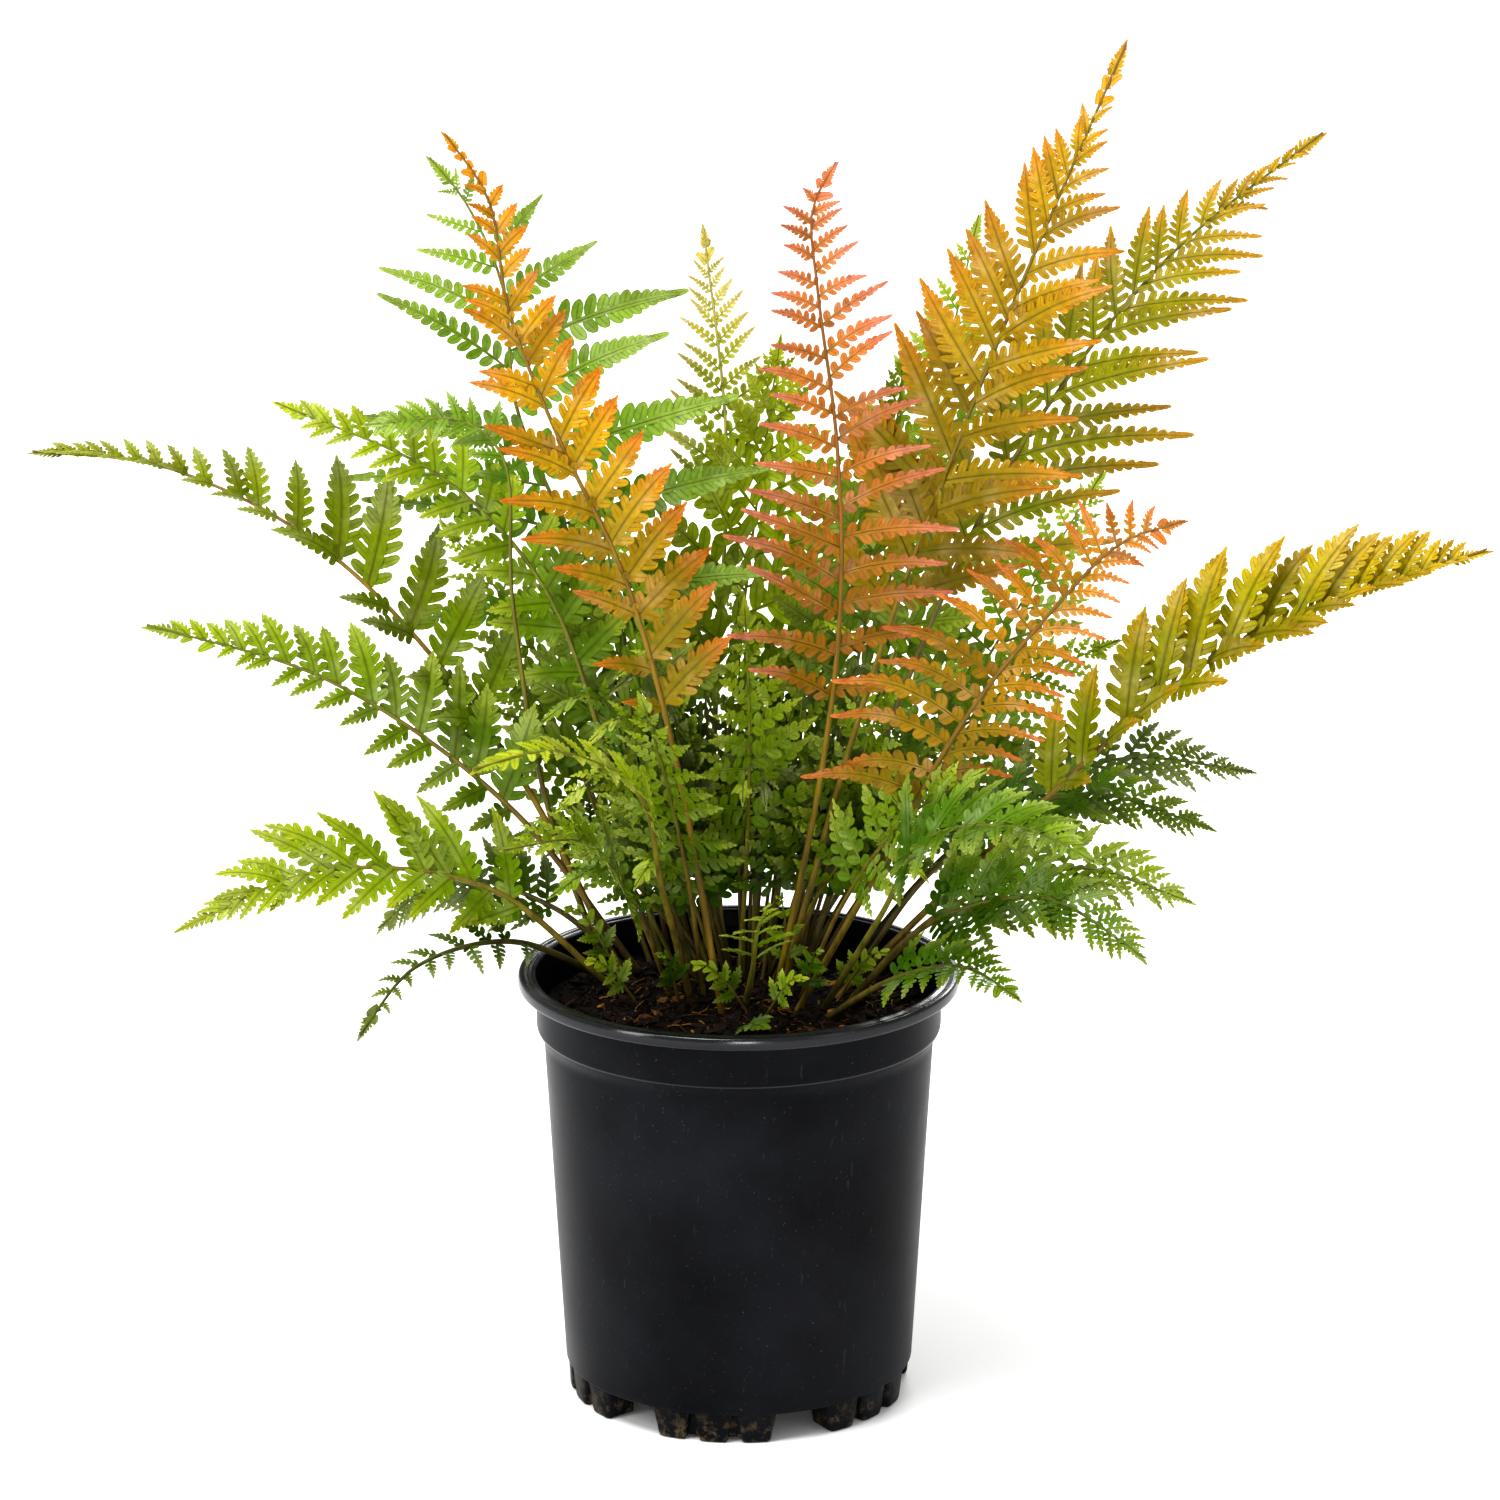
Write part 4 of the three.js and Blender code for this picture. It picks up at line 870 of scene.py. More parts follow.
def undergrowth():
    """Shorter green fronds that fill the middle of the plant, turned evenly round the crown."""
    rng = np.random.default_rng(SEEDS["undergrowth"])
    greens = UNDERGROWTH["palettes"]
    layers = [layer for layer in UNDERGROWTH["layers"] for _ in range(layer["count"])]
    for i, layer in enumerate(layers):
        heading = math.radians(i * UNDERGROWTH["turn"] + rng.normal(0, STRAY["heading"]))
        way = np.array([math.cos(heading), math.sin(heading)])
        way[1] = max(way[1], layer["forward"])
        reach = rng.uniform(*layer["reach"])
        top = layer["top"] - reach * layer["fall"] + rng.normal(0, STRAY["height"])
        foot = np.array(UNDERGROWTH["middle"]) + way * rng.uniform(*UNDERGROWTH["feet"])
        end = foot + way * reach
        rise = FERN["root_height"]
        path = [tuple(foot)]
        for share, height in (*UNDERGROWTH["rise"], (1, 1 - reach / UNDERGROWTH["sag"])):
            path.append((*(foot + (end - foot) * share), rise + (top - rise) * height))
        spec = dict(
            start=layer["start"], pairs=6, longest=rng.uniform(*layer["longest"]),
            face=(0.6 * way[0], 0.3 * way[1] - 0.3, 0.7),
            palette=greens[i % len(greens)], path=path, grows=UNDERGROWTH["grows"])
        frond(f"undergrowth_{i + 1:02d}", spec, SEEDS["first_undergrowth"] + i)


def crown_leaves():
    """Small young leaves low over the mix, with few broad lobes."""
    for i, (x, y, heading, height) in enumerate(CROWN_LEAVES):
        way = np.array([math.sin(math.radians(heading)), -math.cos(math.radians(heading))])
        path = [(x, y)]
        for share, rise in CROWN["rise"]:
            reach = share * CROWN["reach"]
            path.append((x + way[0] * reach, y + way[1] * reach, FERN["root_height"] + height * rise))
        spec = dict(
            start=0.35, pairs=4, longest=10, face=(0.2 * way[0], -0.6, 0.75), angles=(66, 44),
            palette=CROWN["palettes"][i % len(CROWN["palettes"])], path=path, grows=CROWN["grows"])
        frond(f"crown_leaf_{i + 1:02d}", spec, SEEDS["first_crown_leaf"] + i)


# ---------------------------------------------------------------- pot

def around(degrees, radius, height):
    """Points at an angle in degrees from the front, towards +X."""
    angle = np.radians(degrees)
    radius, height = np.broadcast_arrays(radius, height)
    return np.stack(np.broadcast_arrays(radius * np.sin(angle), -radius * np.cos(angle), height), -1)


def rounded(corners, steps=4):
    """A closed profile of (radius, height, rounding) with each corner turned into a short curve."""
    points = []
    corners = [np.array(c, float) for c in corners]
    for i, corner in enumerate(corners):
        before, after, here = corners[i - 1][:2], corners[(i + 1) % len(corners)][:2], corner[:2]
        size = corner[2]
        if size <= 0:
            points.append(here)
            continue
        reach_in = min(size, 0.45 * math.dist(before, here))
        reach_out = min(size, 0.45 * math.dist(after, here))
        start = here + (before - here) / math.dist(before, here) * reach_in
        end = here + (after - here) / math.dist(after, here) * reach_out
        for t in np.linspace(0, 1, steps + 1):
            points.append(start * (1 - t) ** 2 + here * 2 * t * (1 - t) + end * t ** 2)
    return np.array(points)


def pot_profile():
    """The pot's section, up its outside and down its inside, starting and ending on the axis."""
    height, lip, bevel = POT["height"], POT["lip_radius"], 0.7
    lip_bottom = height - POT["lip_height"]
    band, wall = POT["band_radius"], POT["wall"]
    floor_top = POT["step_height"] + POT["floor"]
    ring_edge = lip - POT["ring_width"]
    return [
        (0, POT["step_height"], 0),
        (FEET["drain_inner"], POT["step_height"], 0),
        (FEET["drain_outer"], POT["step_height"], 0),
        (POT["step_radius"], POT["step_height"], 0.8),
        (POT["shoulder_radius"], POT["shoulder_height"], 2.2),
        (band, POT["band_bottom"], 1.4),
        (band, lip_bottom, 0.9),
        (lip, lip_bottom, 1.6),
        (lip, height, 2.2),
        (ring_edge, height, 0.4),
        (ring_edge - POT["groove_width"], height - POT["groove_depth"], 0.6),
        (POT["mouth_radius"] + POT["inner_ring"], height, 0.5),
        (POT["mouth_radius"], height - bevel, 0.5),
        (band - wall, lip_bottom - wall, 1.0),
        (band - wall, POT["band_bottom"] + wall, 1.2),
        (POT["shoulder_radius"] - wall, POT["shoulder_height"], 1.5),
        (POT["step_radius"] - wall, floor_top, 1.5),
        (FEET["drain_outer"], floor_top, 0),
        (FEET["drain_inner"], floor_top, 0),
        (0, floor_top, 0),
    ]


def drains():
    """The middle angles of the drain holes, between the feet."""
    pitch = 360 / FEET["count"]
    return [FEET["first_angle"] + (i + 0.5) * pitch for i in range(FEET["count"])]


def add_pot_shell(body):
    """The turned shell, with the floor left open at each drain hole and a wall round the hole."""
    corners = pot_profile()
    section = rounded(corners[1:-1])
    section = np.concatenate([[corners[0][:2]], section, [corners[-1][:2]]])
    rings = len(section)
    angles = np.arange(POT_SIDES) * 360 / POT_SIDES + FEET["first_angle"] - math.floor(
        FEET["first_angle"])
    grid = around(angles[None], section[:, :1], section[:, 1:])
    middle = (angles + 180 / POT_SIDES)[None]
    away = np.min([np.abs((middle - d + 180) % 360 - 180) for d in drains()], axis=0)[0]
    in_drain = away < FEET["drain_width"] / 2
    low, high = POT["step_height"], POT["step_height"] + POT["floor"]
    inner, outer = FEET["drain_inner"], FEET["drain_outer"]
    rim = [
        int(np.argmin(np.abs(section - corner).sum(axis=1)))
        for corner in ((inner, low), (outer, low), (outer, high), (inner, high))]
    cut = np.zeros((rings - 1, POT_SIDES), bool)
    cut[[rim[0], rim[2]]] = np.roll(in_drain, 1)
    faces = band_faces(rings, POT_SIDES, -1)[~np.tile(cut.ravel(), 2)].tolist()

    def wall(corners, flip):
        """Two triangles between four points, each given by its ring and its column."""
        a, b, c, d = [ring * POT_SIDES + k % POT_SIDES for ring, k in corners]
        return [(c, b, a), (d, c, a)] if flip else [(a, b, c), (a, c, d)]

    for k in np.nonzero(in_drain)[0]:
        faces += wall([(rim[0], k), (rim[0], k + 1), (rim[3], k + 1), (rim[3], k)], False)
        faces += wall([(rim[1], k), (rim[1], k + 1), (rim[2], k + 1), (rim[2], k)], True)
        for edge, beyond in ((k, k - 1), (k + 1, k + 1)):
            if not in_drain[beyond % POT_SIDES]:
                faces += wall([(ring, edge) for ring in rim], edge == k)
    points = grid.reshape(-1, 3)
    faces = np.array(faces)
    # the first and the last ring each close on one point of the axis
    faces[faces < POT_SIDES] = 0
    last = (rings - 1) * POT_SIDES
    faces[faces >= last] = last
    faces = faces[[len(set(f)) == 3 for f in faces]]
    middles = points[faces].mean(axis=1)
    radius, level = np.linalg.norm(middles[:, :2], axis=1), middles[:, 2]
    lip_bottom = POT["height"] - POT["lip_height"]
    at_lip = (radius > POT["mouth_radius"] + GLOSSY["lip"]) & (level > lip_bottom - GLOSSY["below"])
    at_shoulder = (radius > POT["band_radius"] - GLOSSY["band"]) & (
        level < POT["band_bottom"] + GLOSSY["above"])
    used, packed = np.unique(faces, return_inverse=True)
    body.add(points[used], packed.reshape(-1, 3), slot=(at_lip | at_shoulder).astype(int))


def add_lug(body, middle, width_top, width_bottom, inner, outer, bottom, top, bevel):
    """A lug of a foot: its sides narrow downwards, and its outer edges are rounded off."""
    def outline(inset):
        half_top, half_bottom = width_top / 2 - inset, width_bottom / 2 - inset
        low = bottom + inset * LUG["rise"]
        flat = half_bottom - LUG["flat"]
        side = [(-half_top, top), (-half_bottom - LUG["widened"], low + LUG["corner"]),
                (-half_bottom + LUG["narrowed"], low + LUG["chamfer"]), (-flat, low)]
        middle_low = [(x, low) for x in np.linspace(-flat, flat, 5)[1:-1]]
        other = [(-x, z) for x, z in side[::-1]]
        middle_top = [(x, top) for x in np.linspace(half_top, -half_top, 6)[1:-1]]
        return side + middle_low + other + middle_top

    rows = []
    edge = [(outer - bevel * share, inset) for share, inset in LUG["rounding"]]
    for radius, inset in [(inner, 0), *edge]:
        shape = outline(inset)
        rows.append([around(middle + x, radius - FEET["draft"] * (1 - (z - bottom) / (top - bottom)), z)
                     for x, z in shape])
    points = np.array(rows)
    count = points.shape[1]
    faces = band_faces(len(rows), count, -1).tolist()
    everything = points.reshape(-1, 3)
    for row, flip in ((0, True), (len(rows) - 1, False)):
        centre = len(everything)
        everything = np.vstack([everything, points[row].mean(axis=0)])
        for k in range(count):
            face = (row * count + k, row * count + (k + 1) % count, centre)
            faces.append(face[::-1] if flip else face)
    faces = np.array(faces)
    solid = everything[faces]
    volume = np.einsum("ij,ij->i", solid[:, 0], np.cross(solid[:, 1], solid[:, 2])).sum()
    body.add(everything, faces if volume > 0 else faces[:, ::-1])


def make_pot():
    body = Body()
    add_pot_shell(body)
    pitch = 360 / FEET["count"]
    top = POT["step_height"] + FEET["sunk"]
    for i in range(FEET["count"]):
        middle = FEET["first_angle"] + i * pitch
        for j in range(FEET["lugs"]):
            offset = (j - (FEET["lugs"] - 1) / 2) * FEET["lug_pitch"]
            add_lug(body, middle + offset, FEET["lug_top_width"], FEET["lug_bottom_width"],
                    FEET["inner_radius"], FEET["outer_radius"] + FEET["proud"], 0, top,
                    FEET["bevel"])
        for j in range(FEET["lugs"] - 1):
            offset = (j + 1 - FEET["lugs"] / 2) * FEET["lug_pitch"]
            width = FEET["lug_pitch"] * FEET["web_width"]
            add_lug(body, middle + offset, width, width, FEET["inner_radius"] + FEET["web_inset"],
                    FEET["web_radius"], FEET["web_bottom"], top, FEET["web_bevel"])
    piece = body.mesh("pot_moulded", [pot_material("pot_black", 0.09, (0.3, 0.42)),
                                      pot_material("pot_rim", 0.45, (0.14, 0.26))], crease=42)
    return finished(piece, "pot_plastic", "pot")


# ---------------------------------------------------------------- bark mix

def waves(points, rng, scale, count=24):
    """A smooth random height over points of the plane, about 1 at most."""
    total = np.zeros(len(points))
    for _ in range(count):
        way = rng.normal(0, 1, 2)
        total += np.sin(points @ way * 2 * math.pi / scale / np.linalg.norm(way) + rng.uniform(0, 6.3))
    return total / math.sqrt(count)


def mix_radius():
    return POT["band_radius"] - POT["wall"] - MIX["gap"]


def mix_height(points):
    """The height of the bed of mix: a low dome with lumps and hollows."""
    rng = np.random.default_rng(SEEDS["mix"])
    reach = np.linalg.norm(points, axis=1) / mix_radius()
    dome = mix(MIX["top_height"], MIX["edge_height"],
               np.clip((reach - MIX["flat_share"]) / (1 - MIX["flat_share"]), 0, 1))
    lumps = sum(waves(points, rng, scale) * height for scale, height in LUMPS)
    lumps = np.clip(lumps, -MIX["highest_lump"], MIX["highest_lump"])
    steep, least = MIX["level_at_wall"]
    return dome + lumps * np.clip((1 - reach) * steep, least, 1)


def make_bed():
    """The mass of the mix, with a lumpy top, inside the pot's wall and floor."""
    body = Body()
    rings, sides = MIX["rings"], MIX["sides"]
    radii = np.linspace(0, mix_radius(), rings + 1)[1:]
    turns = np.arange(sides) * 360 / sides
    top = around(turns[None], radii[:, None], 0.0).reshape(-1, 3)
    top[:, 2] = mix_height(top[:, :2])
    wall = POT["wall"] + MIX["gap"]
    lower = [
        (POT["band_radius"] - wall, POT["band_bottom"] + POT["wall"]),
        (POT["shoulder_radius"] - wall, POT["shoulder_height"]),
        (POT["step_radius"] - wall, POT["step_height"] + POT["floor"] + MIX["gap"]),
    ]
    sides_down = np.concatenate([around(turns, radius, height) for radius, height in lower])
    ends = np.array([[0, 0, mix_height(np.zeros((1, 2)))[0]], [0, 0, lower[-1][1]]])
    points = np.concatenate([top, sides_down, ends])
    rows = rings + len(lower)
    faces = band_faces(rows, sides).tolist()
    centre, under = len(points) - 2, len(points) - 1
    last = (rows - 1) * sides
    for k in range(sides):
        faces.append((centre, k, (k + 1) % sides))
        faces.append((under, last + (k + 1) % sides, last + k))
    body.add(points, faces, tone=0.2)
    return finished(body.mesh("bark_bed", [bark_material()]), "potting_mix", "potting_mix")


def ball(divisions):
    """A faceted ball's points and triangles."""
    made = bmesh.new()
    bmesh.ops.create_icosphere(made, subdivisions=divisions, radius=1)
    points = np.array([v.co for v in made.verts])
    faces = np.array([[v.index for v in f.verts] for f in made.faces])
    made.free()
    return points, faces


def turns_of(rng, count, flat):
    """Random rotations; flat is how much each piece keeps to the ground, 0 for not at all."""
    heading = rng.uniform(0, 2 * math.pi, count)
    tilt, roll = rng.normal(0, CHIP_STRAY["tumble"] * (1 - flat), (2, count))
    ch, sh, ct, st, cr, sr = [f(a) for a in (heading, tilt, roll) for f in (np.cos, np.sin)]
    zero, one = np.zeros(count), np.ones(count)
    spin = np.array([[ch, -sh, zero], [sh, ch, zero], [zero, zero, one]]).transpose(2, 0, 1)
    lean = np.array([[ct, zero, st], [zero, one, zero], [-st, zero, ct]]).transpose(2, 0, 1)
    side = np.array([[one, zero, zero], [zero, cr, -sr], [zero, sr, cr]]).transpose(2, 0, 1)
    return spin @ lean @ side


def scattered(rng, count, reach):
    turn = rng.uniform(0, 2 * math.pi, count)
    radius = np.sqrt(rng.uniform(0, 1, count)) * reach
    return np.stack([radius * np.cos(turn), radius * np.sin(turn)], -1)


def make_chips():
    """Bark chips and crumbs lying in and on the bed, some of them fresh and tan."""
    body = Body()
    rng = np.random.default_rng(SEEDS["chips"])
    for kind in CHIPS:
        points, faces = ball(kind["divisions"])
        count, size = kind["count"], np.array(kind["size"])
        places = scattered(rng, count, mix_radius() - size[0] - CHIP_STRAY["edge"])
        sizes = size * rng.lognormal(0, CHIP_STRAY["size"], (count, 3))
        sizes = np.minimum(sizes, size * CHIP_STRAY["largest"])
        rough = 1 + rng.normal(0, CHIP_STRAY["rough"], (count, len(points), 1))
        shapes = points[None] * sizes[:, None] * rough
        shapes = np.einsum("nij,nkj->nki", turns_of(rng, count, kind["flat"]), shapes)
        height = mix_height(places) + kind["lift"] * sizes[:, 2]
        shapes += np.concatenate([places, height[:, None]], axis=1)[:, None]
        tone = rng.beta(*CHIP_STRAY["tone"], count)
        fresh = rng.uniform(size=count) < CHIP_STRAY["fresh"]
        tone = np.clip(tone + fresh * CHIP_STRAY["paler"], 0, 1)
        numbers = faces[None] + (np.arange(count) * len(points))[:, None, None]
        body.add(shapes, numbers, tone=np.repeat(tone, len(points)))
    return finished(body.mesh("bark_chips", [bark_material()], smooth=False), "potting_mix")


def make_fibres():
    """Thin bark fibres and dead rootlets that curl over the bed."""
    body = Body()
    rng = np.random.default_rng(SEEDS["fibres"])
    rings = FIBRES["rings"]
    for place in scattered(rng, FIBRES["count"], mix_radius() - FIBRES["edge"]):
        heading = rng.uniform(0, 2 * math.pi)
        length = rng.uniform(*FIBRES["length"])
        curve = rng.normal(0, FIBRES["curve"])
        steps = np.linspace(0, 1, rings)
        turn = heading + curve * length * steps
        path = np.stack([np.cos(turn), np.sin(turn)], -1) * length / (rings - 1)
        path = place + np.cumsum(path, axis=0) - path[0]
        reach = mix_radius() - FIBRES["end_edge"]
        inside = np.minimum(1, reach / np.linalg.norm(path, axis=1))
        path = path * inside[:, None]
        arch = rng.uniform(0, FIBRES["arch"]) * np.sin(steps * math.pi)
        height = mix_height(path) + FIBRES["lift"] + arch
        points = np.concatenate([path, height[:, None]], axis=1)
        add_tube(body, points, np.tile([0, 0, 1.0], (rings, 1)),
                 np.full(rings, rng.uniform(*FIBRES["radius"])), FIBRES["sides"], 0,
                 tone=rng.uniform(0.3, 1))
    return finished(body.mesh("bark_fibres", [bark_material()]), "potting_mix")


# ---------------------------------------------------------------- materials

def linear(code, alpha=1.0):
    """A colour node's value for an sRGB code."""
    parts = [int(code[i:i + 2], 16) / 255 for i in (0, 2, 4)]
    return [p / 12.92 if p <= 0.04045 else ((p + 0.055) / 1.055) ** 2.4 for p in parts] + [alpha]


class Nodes:
    """A new material's nodes, made and joined in short calls."""

    def __init__(self, name):
        self.material = bpy.data.materials.new(name)
        self.material.use_nodes = True
        self.tree = self.material.node_tree
        self.tree.nodes.clear()
        self.output = self.tree.nodes.new("ShaderNodeOutputMaterial")

    def node(self, kind, inputs=None, **settings):
        made = self.tree.nodes.new("ShaderNode" + kind)
        for name, value in settings.items():
            setattr(made, name, value)
        for name, value in (inputs or {}).items():
            if isinstance(value, bpy.types.NodeSocket):
                self.tree.links.new(value, made.inputs[name])
            else:
                made.inputs[name].default_value = value
        return made

    def value(self, name):
        return self.node("Attribute", attribute_name=name).outputs["Fac"]

    def place(self, scale=(1, 1, 1)):
        coordinates = self.node("TexCoord").outputs["Object"]
        return self.node("Mapping", {"Vector": coordinates, "Scale": scale}).outputs["Vector"]

    def noise(self, scale, detail=3.0, roughness=0.5, vector=None):
        made = self.node("TexNoise", {"Scale": scale, "Detail": detail, "Roughness": roughness,
                                      "Vector": vector or self.place()})
        return made.outputs["Fac"]

    def ramp(self, factor, stops):
        made = self.node("ValToRGB", {"Fac": factor})
        elements = made.color_ramp.elements
        while len(elements) < len(stops):
            elements.new(0.5)
        for element, (position, color) in zip(elements, stops):
            element.position = position
            element.color = color
        return made.outputs["Color"]

    def blend(self, factor, a, b, kind="MIX"):
        made = self.node("Mix", {0: factor, 6: a, 7: b}, data_type="RGBA", blend_type=kind)
        return made.outputs[2]

    def spread(self, value, low, high, to_low, to_high):
        made = self.node("MapRange", {"Value": value, "From Min": low, "From Max": high,
                                      "To Min": to_low, "To Max": to_high})
        return made.outputs["Result"]

    def sum(self, a, b, operation="ADD"):
        return self.node("Math", {0: a, 1: b}, operation=operation).outputs[0]

    def bump(self, height, strength, distance):
        made = self.node("Bump", {"Height": height, "Strength": strength, "Distance": distance})
        return made.outputs["Normal"]

    def scaled(self, color, factor):
        """The colour times one number."""
        same = self.node("CombineColor", {0: factor, 1: factor, 2: factor}).outputs[0]
        return self.blend(1.0, color, same, "MULTIPLY")

    def done(self, shader):
        self.tree.links.new(shader, self.output.inputs["Surface"])
        return self.material


def grey(level):
    return [level, level, level, 1.0]


def times(color, factor):
    """A colour made darker or lighter by a factor."""
    return [min(1, c * factor) for c in color[:3]] + [1.0]


@functools.cache
def leaf_material(palette):
    """A leaf: its palette along the blade and out each pinna, darker ribs, mottling and painted sheen."""
    colors = PALETTES[palette]
    low, middle, high, tips, margin = [
        linear(code) for code in (colors.foot, colors.middle, colors.end, colors.tips, colors.edge)]
    m = Nodes("leaf_" + palette)
    blade, reach, tone = m.value("blade"), m.value("reach"), m.value("tone")
    along = m.sum(blade, m.spread(m.noise(GRAIN["leaf_patches"], 2), 0.3, 0.7, -0.12, 0.12))
    color = m.ramp(along, [(0.05, low), (0.5, middle), (0.95, high)])
    inner = m.spread(reach, 0.0, 0.4, 0.55, 0.0)
    color = m.blend(inner, color, low)
    outward = m.spread(reach, 0.5, 1.08, 0.0, 0.9)
    color = m.blend(outward, color, tips)
    # Painted sheen: pale patches of the high colour, laid on by noise where glossy reflection would be.
    painted_sheen = m.spread(m.noise(GRAIN["leaf_painted_sheen"], 2), 0.5, 0.68, 0.0, 0.3)
    color = m.blend(painted_sheen, color, [mix(c, 0.75, 0.35) for c in high[:3]] + [1.0])
    shade = m.ramp(tone, [(0.15, grey(0.62)), (0.5, grey(0.92)), (0.9, grey(1.0))])
    color = m.blend(1.0, color, shade, "MULTIPLY")
    mottle = m.spread(m.noise(GRAIN["leaf_mottle"], 3, 0.6), 0.35, 0.65, 0.84, 1.08)
    color = m.scaled(color, mottle)
    rib = m.spread(m.value("margin"), 0.0, 0.16, 0.6, 0.0)
    color = m.blend(rib, color, times(low, 0.3))
    edge = m.spread(m.value("margin"), 0.6, 1.0, 0.0, 0.55)
    color = m.blend(edge, color, margin)
    pale = m.blend(0.25, color, linear("bcc070"))
    under = m.value("under")
    color = m.blend(under, color, pale)
    roughness = m.spread(m.noise(GRAIN["leaf_gloss"], 2), 0.3, 0.7, 0.3, 0.5)
    veins = m.noise(GRAIN["leaf_veins"], 2)
    surface = m.node("BsdfPrincipled", {
        "Base Color": color, "Roughness": roughness, "Specular IOR Level": 0.2,
        "Normal": m.bump(veins, 0.25, 0.0003)})
    light_through = m.blend(0.35, color, times(middle, 1.9))
    glow = m.node("BsdfTranslucent", {"Color": light_through})
    both = m.node("MixShader", {0: 0.34, 1: surface.outputs[0], 2: glow.outputs[0]})
    return m.done(both.outputs[0])


@functools.cache
def stem_material(palette):
    """A stem: brown and dull low down, nearer to the leaf's colour high up, with fine streaks."""
    low, high = linear(PALETTES[palette].stem_low), linear(PALETTES[palette].stem_high)
    m = Nodes("stem_" + palette)
    streaks = m.noise(GRAIN["stem_streaks"], 4, 0.6, vector=m.place((1, 1, 0.12)))
    along = m.sum(m.value("blade"), m.spread(streaks, 0.3, 0.7, -0.15, 0.15))
    color = m.ramp(along, [(0.0, times(low, 0.6)), (0.3, low), (0.85, high)])
    color = m.scaled(color, m.spread(streaks, 0.35, 0.7, 0.7, 1.1))
    surface = m.node("BsdfPrincipled", {
        "Base Color": color, "Roughness": m.spread(streaks, 0.3, 0.7, 0.34, 0.52),
        "Specular IOR Level": 0.3, "Normal": m.bump(streaks, 0.3, 0.0004)})
    return m.done(surface.outputs[0])


@functools.cache
def bark_material():
    """Dark bark mix, with tan fresh faces on a few chips."""
    m = Nodes("bark_mix")
    grain = m.noise(GRAIN["bark"], 5, 0.65, vector=m.place((1, 1, 2.5)))
    tone = m.sum(m.value("tone"), m.spread(grain, 0.3, 0.7, -0.16, 0.16))
    color = m.ramp(tone, [(0.0, linear("0b0704")), (0.4, linear("1b110a")), (0.65, linear("3a2614")),
                          (0.85, linear("6a4820")), (1.0, linear("a07634"))])
    surface = m.node("BsdfPrincipled", {
        "Base Color": color, "Roughness": m.spread(grain, 0.3, 0.7, 0.72, 0.95),
        "Specular IOR Level": 0.25, "Normal": m.bump(grain, 0.6, 0.0006)})
    return m.done(surface.outputs[0])


def pot_material(name, specular, dull):
    """Black moulded plastic: satin, with smudges, dust specks, fine scratches and earth on its feet.
    dull is its roughness where it is clean, least and most."""
    m = Nodes(name)
    smudges = m.noise(GRAIN["pot_smudges"], 4, 0.55)
    fine = m.noise(GRAIN["pot_fine"], 2)
    scratches = m.noise(GRAIN["pot_scratches"], 3, 0.7, vector=m.place((1.0, 1.0, 0.2)))
    color = m.ramp(smudges, [(0.3, linear("0c0d0f")), (0.7, linear("1e1f23"))])
    specks = m.spread(m.noise(GRAIN["pot_specks"], 1, 0.4), 0.74, 0.8, 0.0, 0.25)
    color = m.blend(specks, color, linear("7c8086"))
    thin = m.spread(scratches, 0.66, 0.72, 0.0, 0.06)
    color = m.blend(thin, color, linear("8a8e94"))
    height = m.node("SeparateXYZ", {0: m.place()}).outputs["Z"]
    low = m.spread(height, 0.013, 0.002, 0.0, 1.0)
    dirt = m.sum(low, m.spread(m.noise(GRAIN["pot_dirt"], 5, 0.7), 0.5, 0.62, 0.0, 0.45), "MULTIPLY")
    color = m.blend(dirt, color, linear("7b6a50"))
    roughness = m.sum(m.spread(smudges, 0.3, 0.7, *dull), m.spread(dirt, 0.0, 1.0, 0.0, 0.4))
    ripple = m.sum(m.sum(smudges, 0.5, "MULTIPLY"), m.sum(fine, 0.12, "MULTIPLY"))
    surface = m.node("BsdfPrincipled", {
        "Base Color": color, "Roughness": roughness, "Specular IOR Level": specular,
        "Normal": m.bump(ripple, 0.25, 0.001)})
    return m.done(surface.outputs[0])


# ---------------------------------------------------------------- floor, light and camera

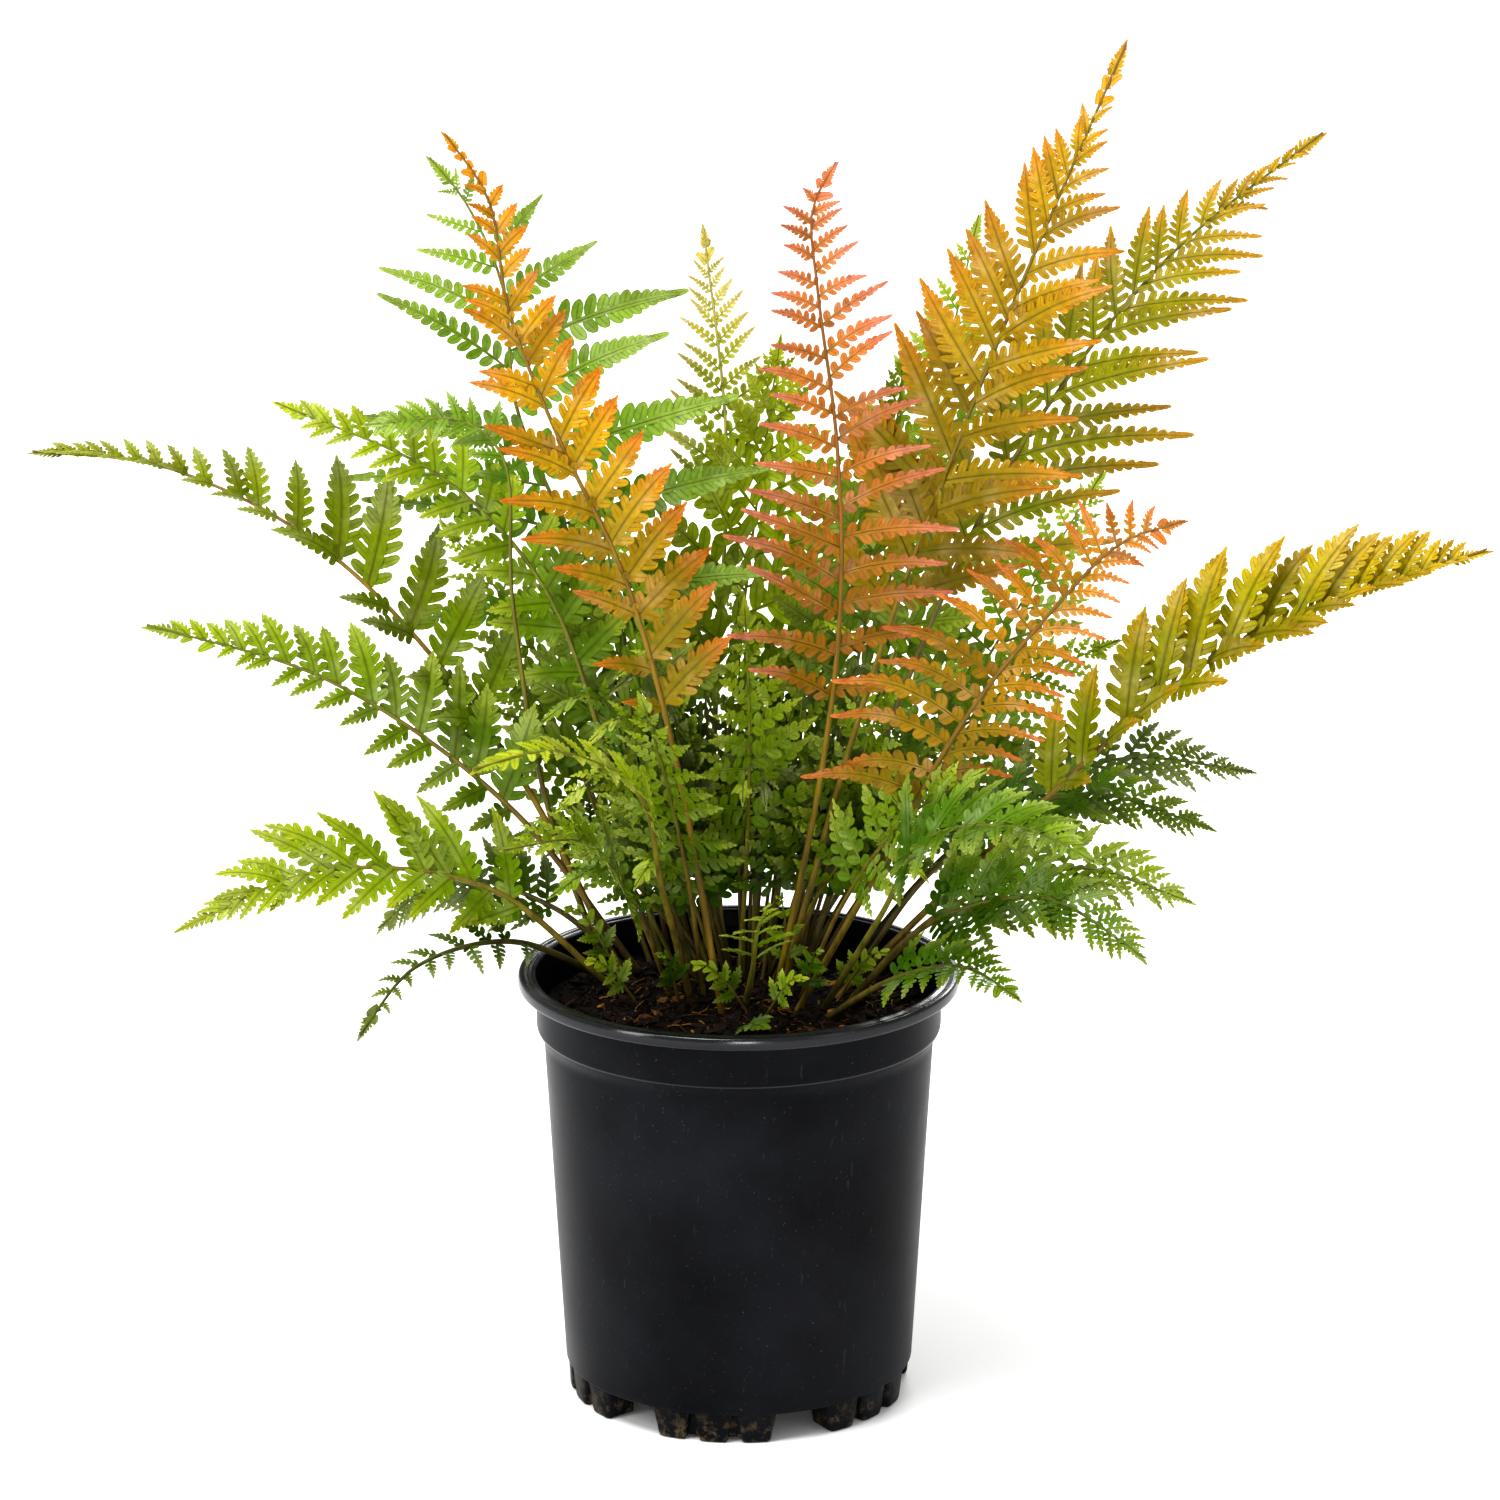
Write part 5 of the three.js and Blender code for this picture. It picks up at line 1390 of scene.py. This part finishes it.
def make_floor():
    data = bpy.data.meshes.new("floor")
    reach = FLOOR["reach"]
    data.from_pydata([(-reach, -reach, 0), (reach, -reach, 0), (reach, reach, 0), (-reach, reach, 0)],
                     [], [(0, 1, 2, 3)])
    m = Nodes("floor_white")
    distance = m.node("VectorMath", {0: m.place()}, operation="LENGTH").outputs["Value"]
    glow = m.spread(distance, FLOOR["bright_from"], FLOOR["bright_to"], 0.0, FLOOR["glow"])
    surface = m.node("BsdfPrincipled", {
        "Base Color": grey(FLOOR["grey"]), "Roughness": 0.75, "Specular IOR Level": 0.1,
        "Emission Color": grey(1.0), "Emission Strength": glow})
    data.materials.append(m.done(surface.outputs[0]))
    floor = bpy.data.objects.new("floor", data)
    bpy.context.scene.collection.objects.link(floor)


def add_area(name, place, height, size, power):
    """A lamp that points to the pot's axis at a height."""
    light = bpy.data.lights.new(name, "AREA")
    light.shape = "RECTANGLE"
    light.size, light.size_y = size
    light.energy = power
    lamp = bpy.data.objects.new(name, light)
    lamp.location = place
    way = np.array([0, 0, height]) - np.array(place)
    lamp.rotation_euler = (
        math.acos(-way[2] / np.linalg.norm(way)), 0, math.atan2(way[1], way[0]) - math.pi / 2)
    bpy.context.scene.collection.objects.link(lamp)


def light_studio():
    world = bpy.data.worlds.new("studio")
    world.use_nodes = True
    background = world.node_tree.nodes["Background"]
    background.inputs["Color"].default_value = (1, 1, 1, 1)
    background.inputs["Strength"].default_value = WORLD_LIGHT
    bpy.context.scene.world = world
    for name, light in LIGHTS.items():
        add_area(name, *light)
    bpy.context.scene.view_settings.view_transform = "Standard"
    bpy.context.scene.view_settings.look = "High Contrast"


def make_camera():
    data = bpy.data.cameras.new("camera")
    data.sensor_width = CAMERA["sensor"]
    data.lens = CAMERA["lens"]
    data.clip_start, data.clip_end = CAMERA["clip"]
    camera = bpy.data.objects.new("camera", data)
    camera.location = CAMERA["place"]
    camera.rotation_euler = (math.radians(90 - CAMERA["down"]), 0, 0)
    bpy.context.scene.collection.objects.link(camera)
    bpy.context.scene.camera = camera


make_camera()
make_floor()
light_studio()
make_pot()
make_bed()
make_chips()
make_fibres()
for seed, (frond_name, frond_spec) in enumerate(FRONDS.items()):
    frond(frond_name, frond_spec, seed, "frond_" + frond_name)
undergrowth()
crown_leaves()
frond("bent_frond", BENT_FROND, SEEDS["bent_frond"])
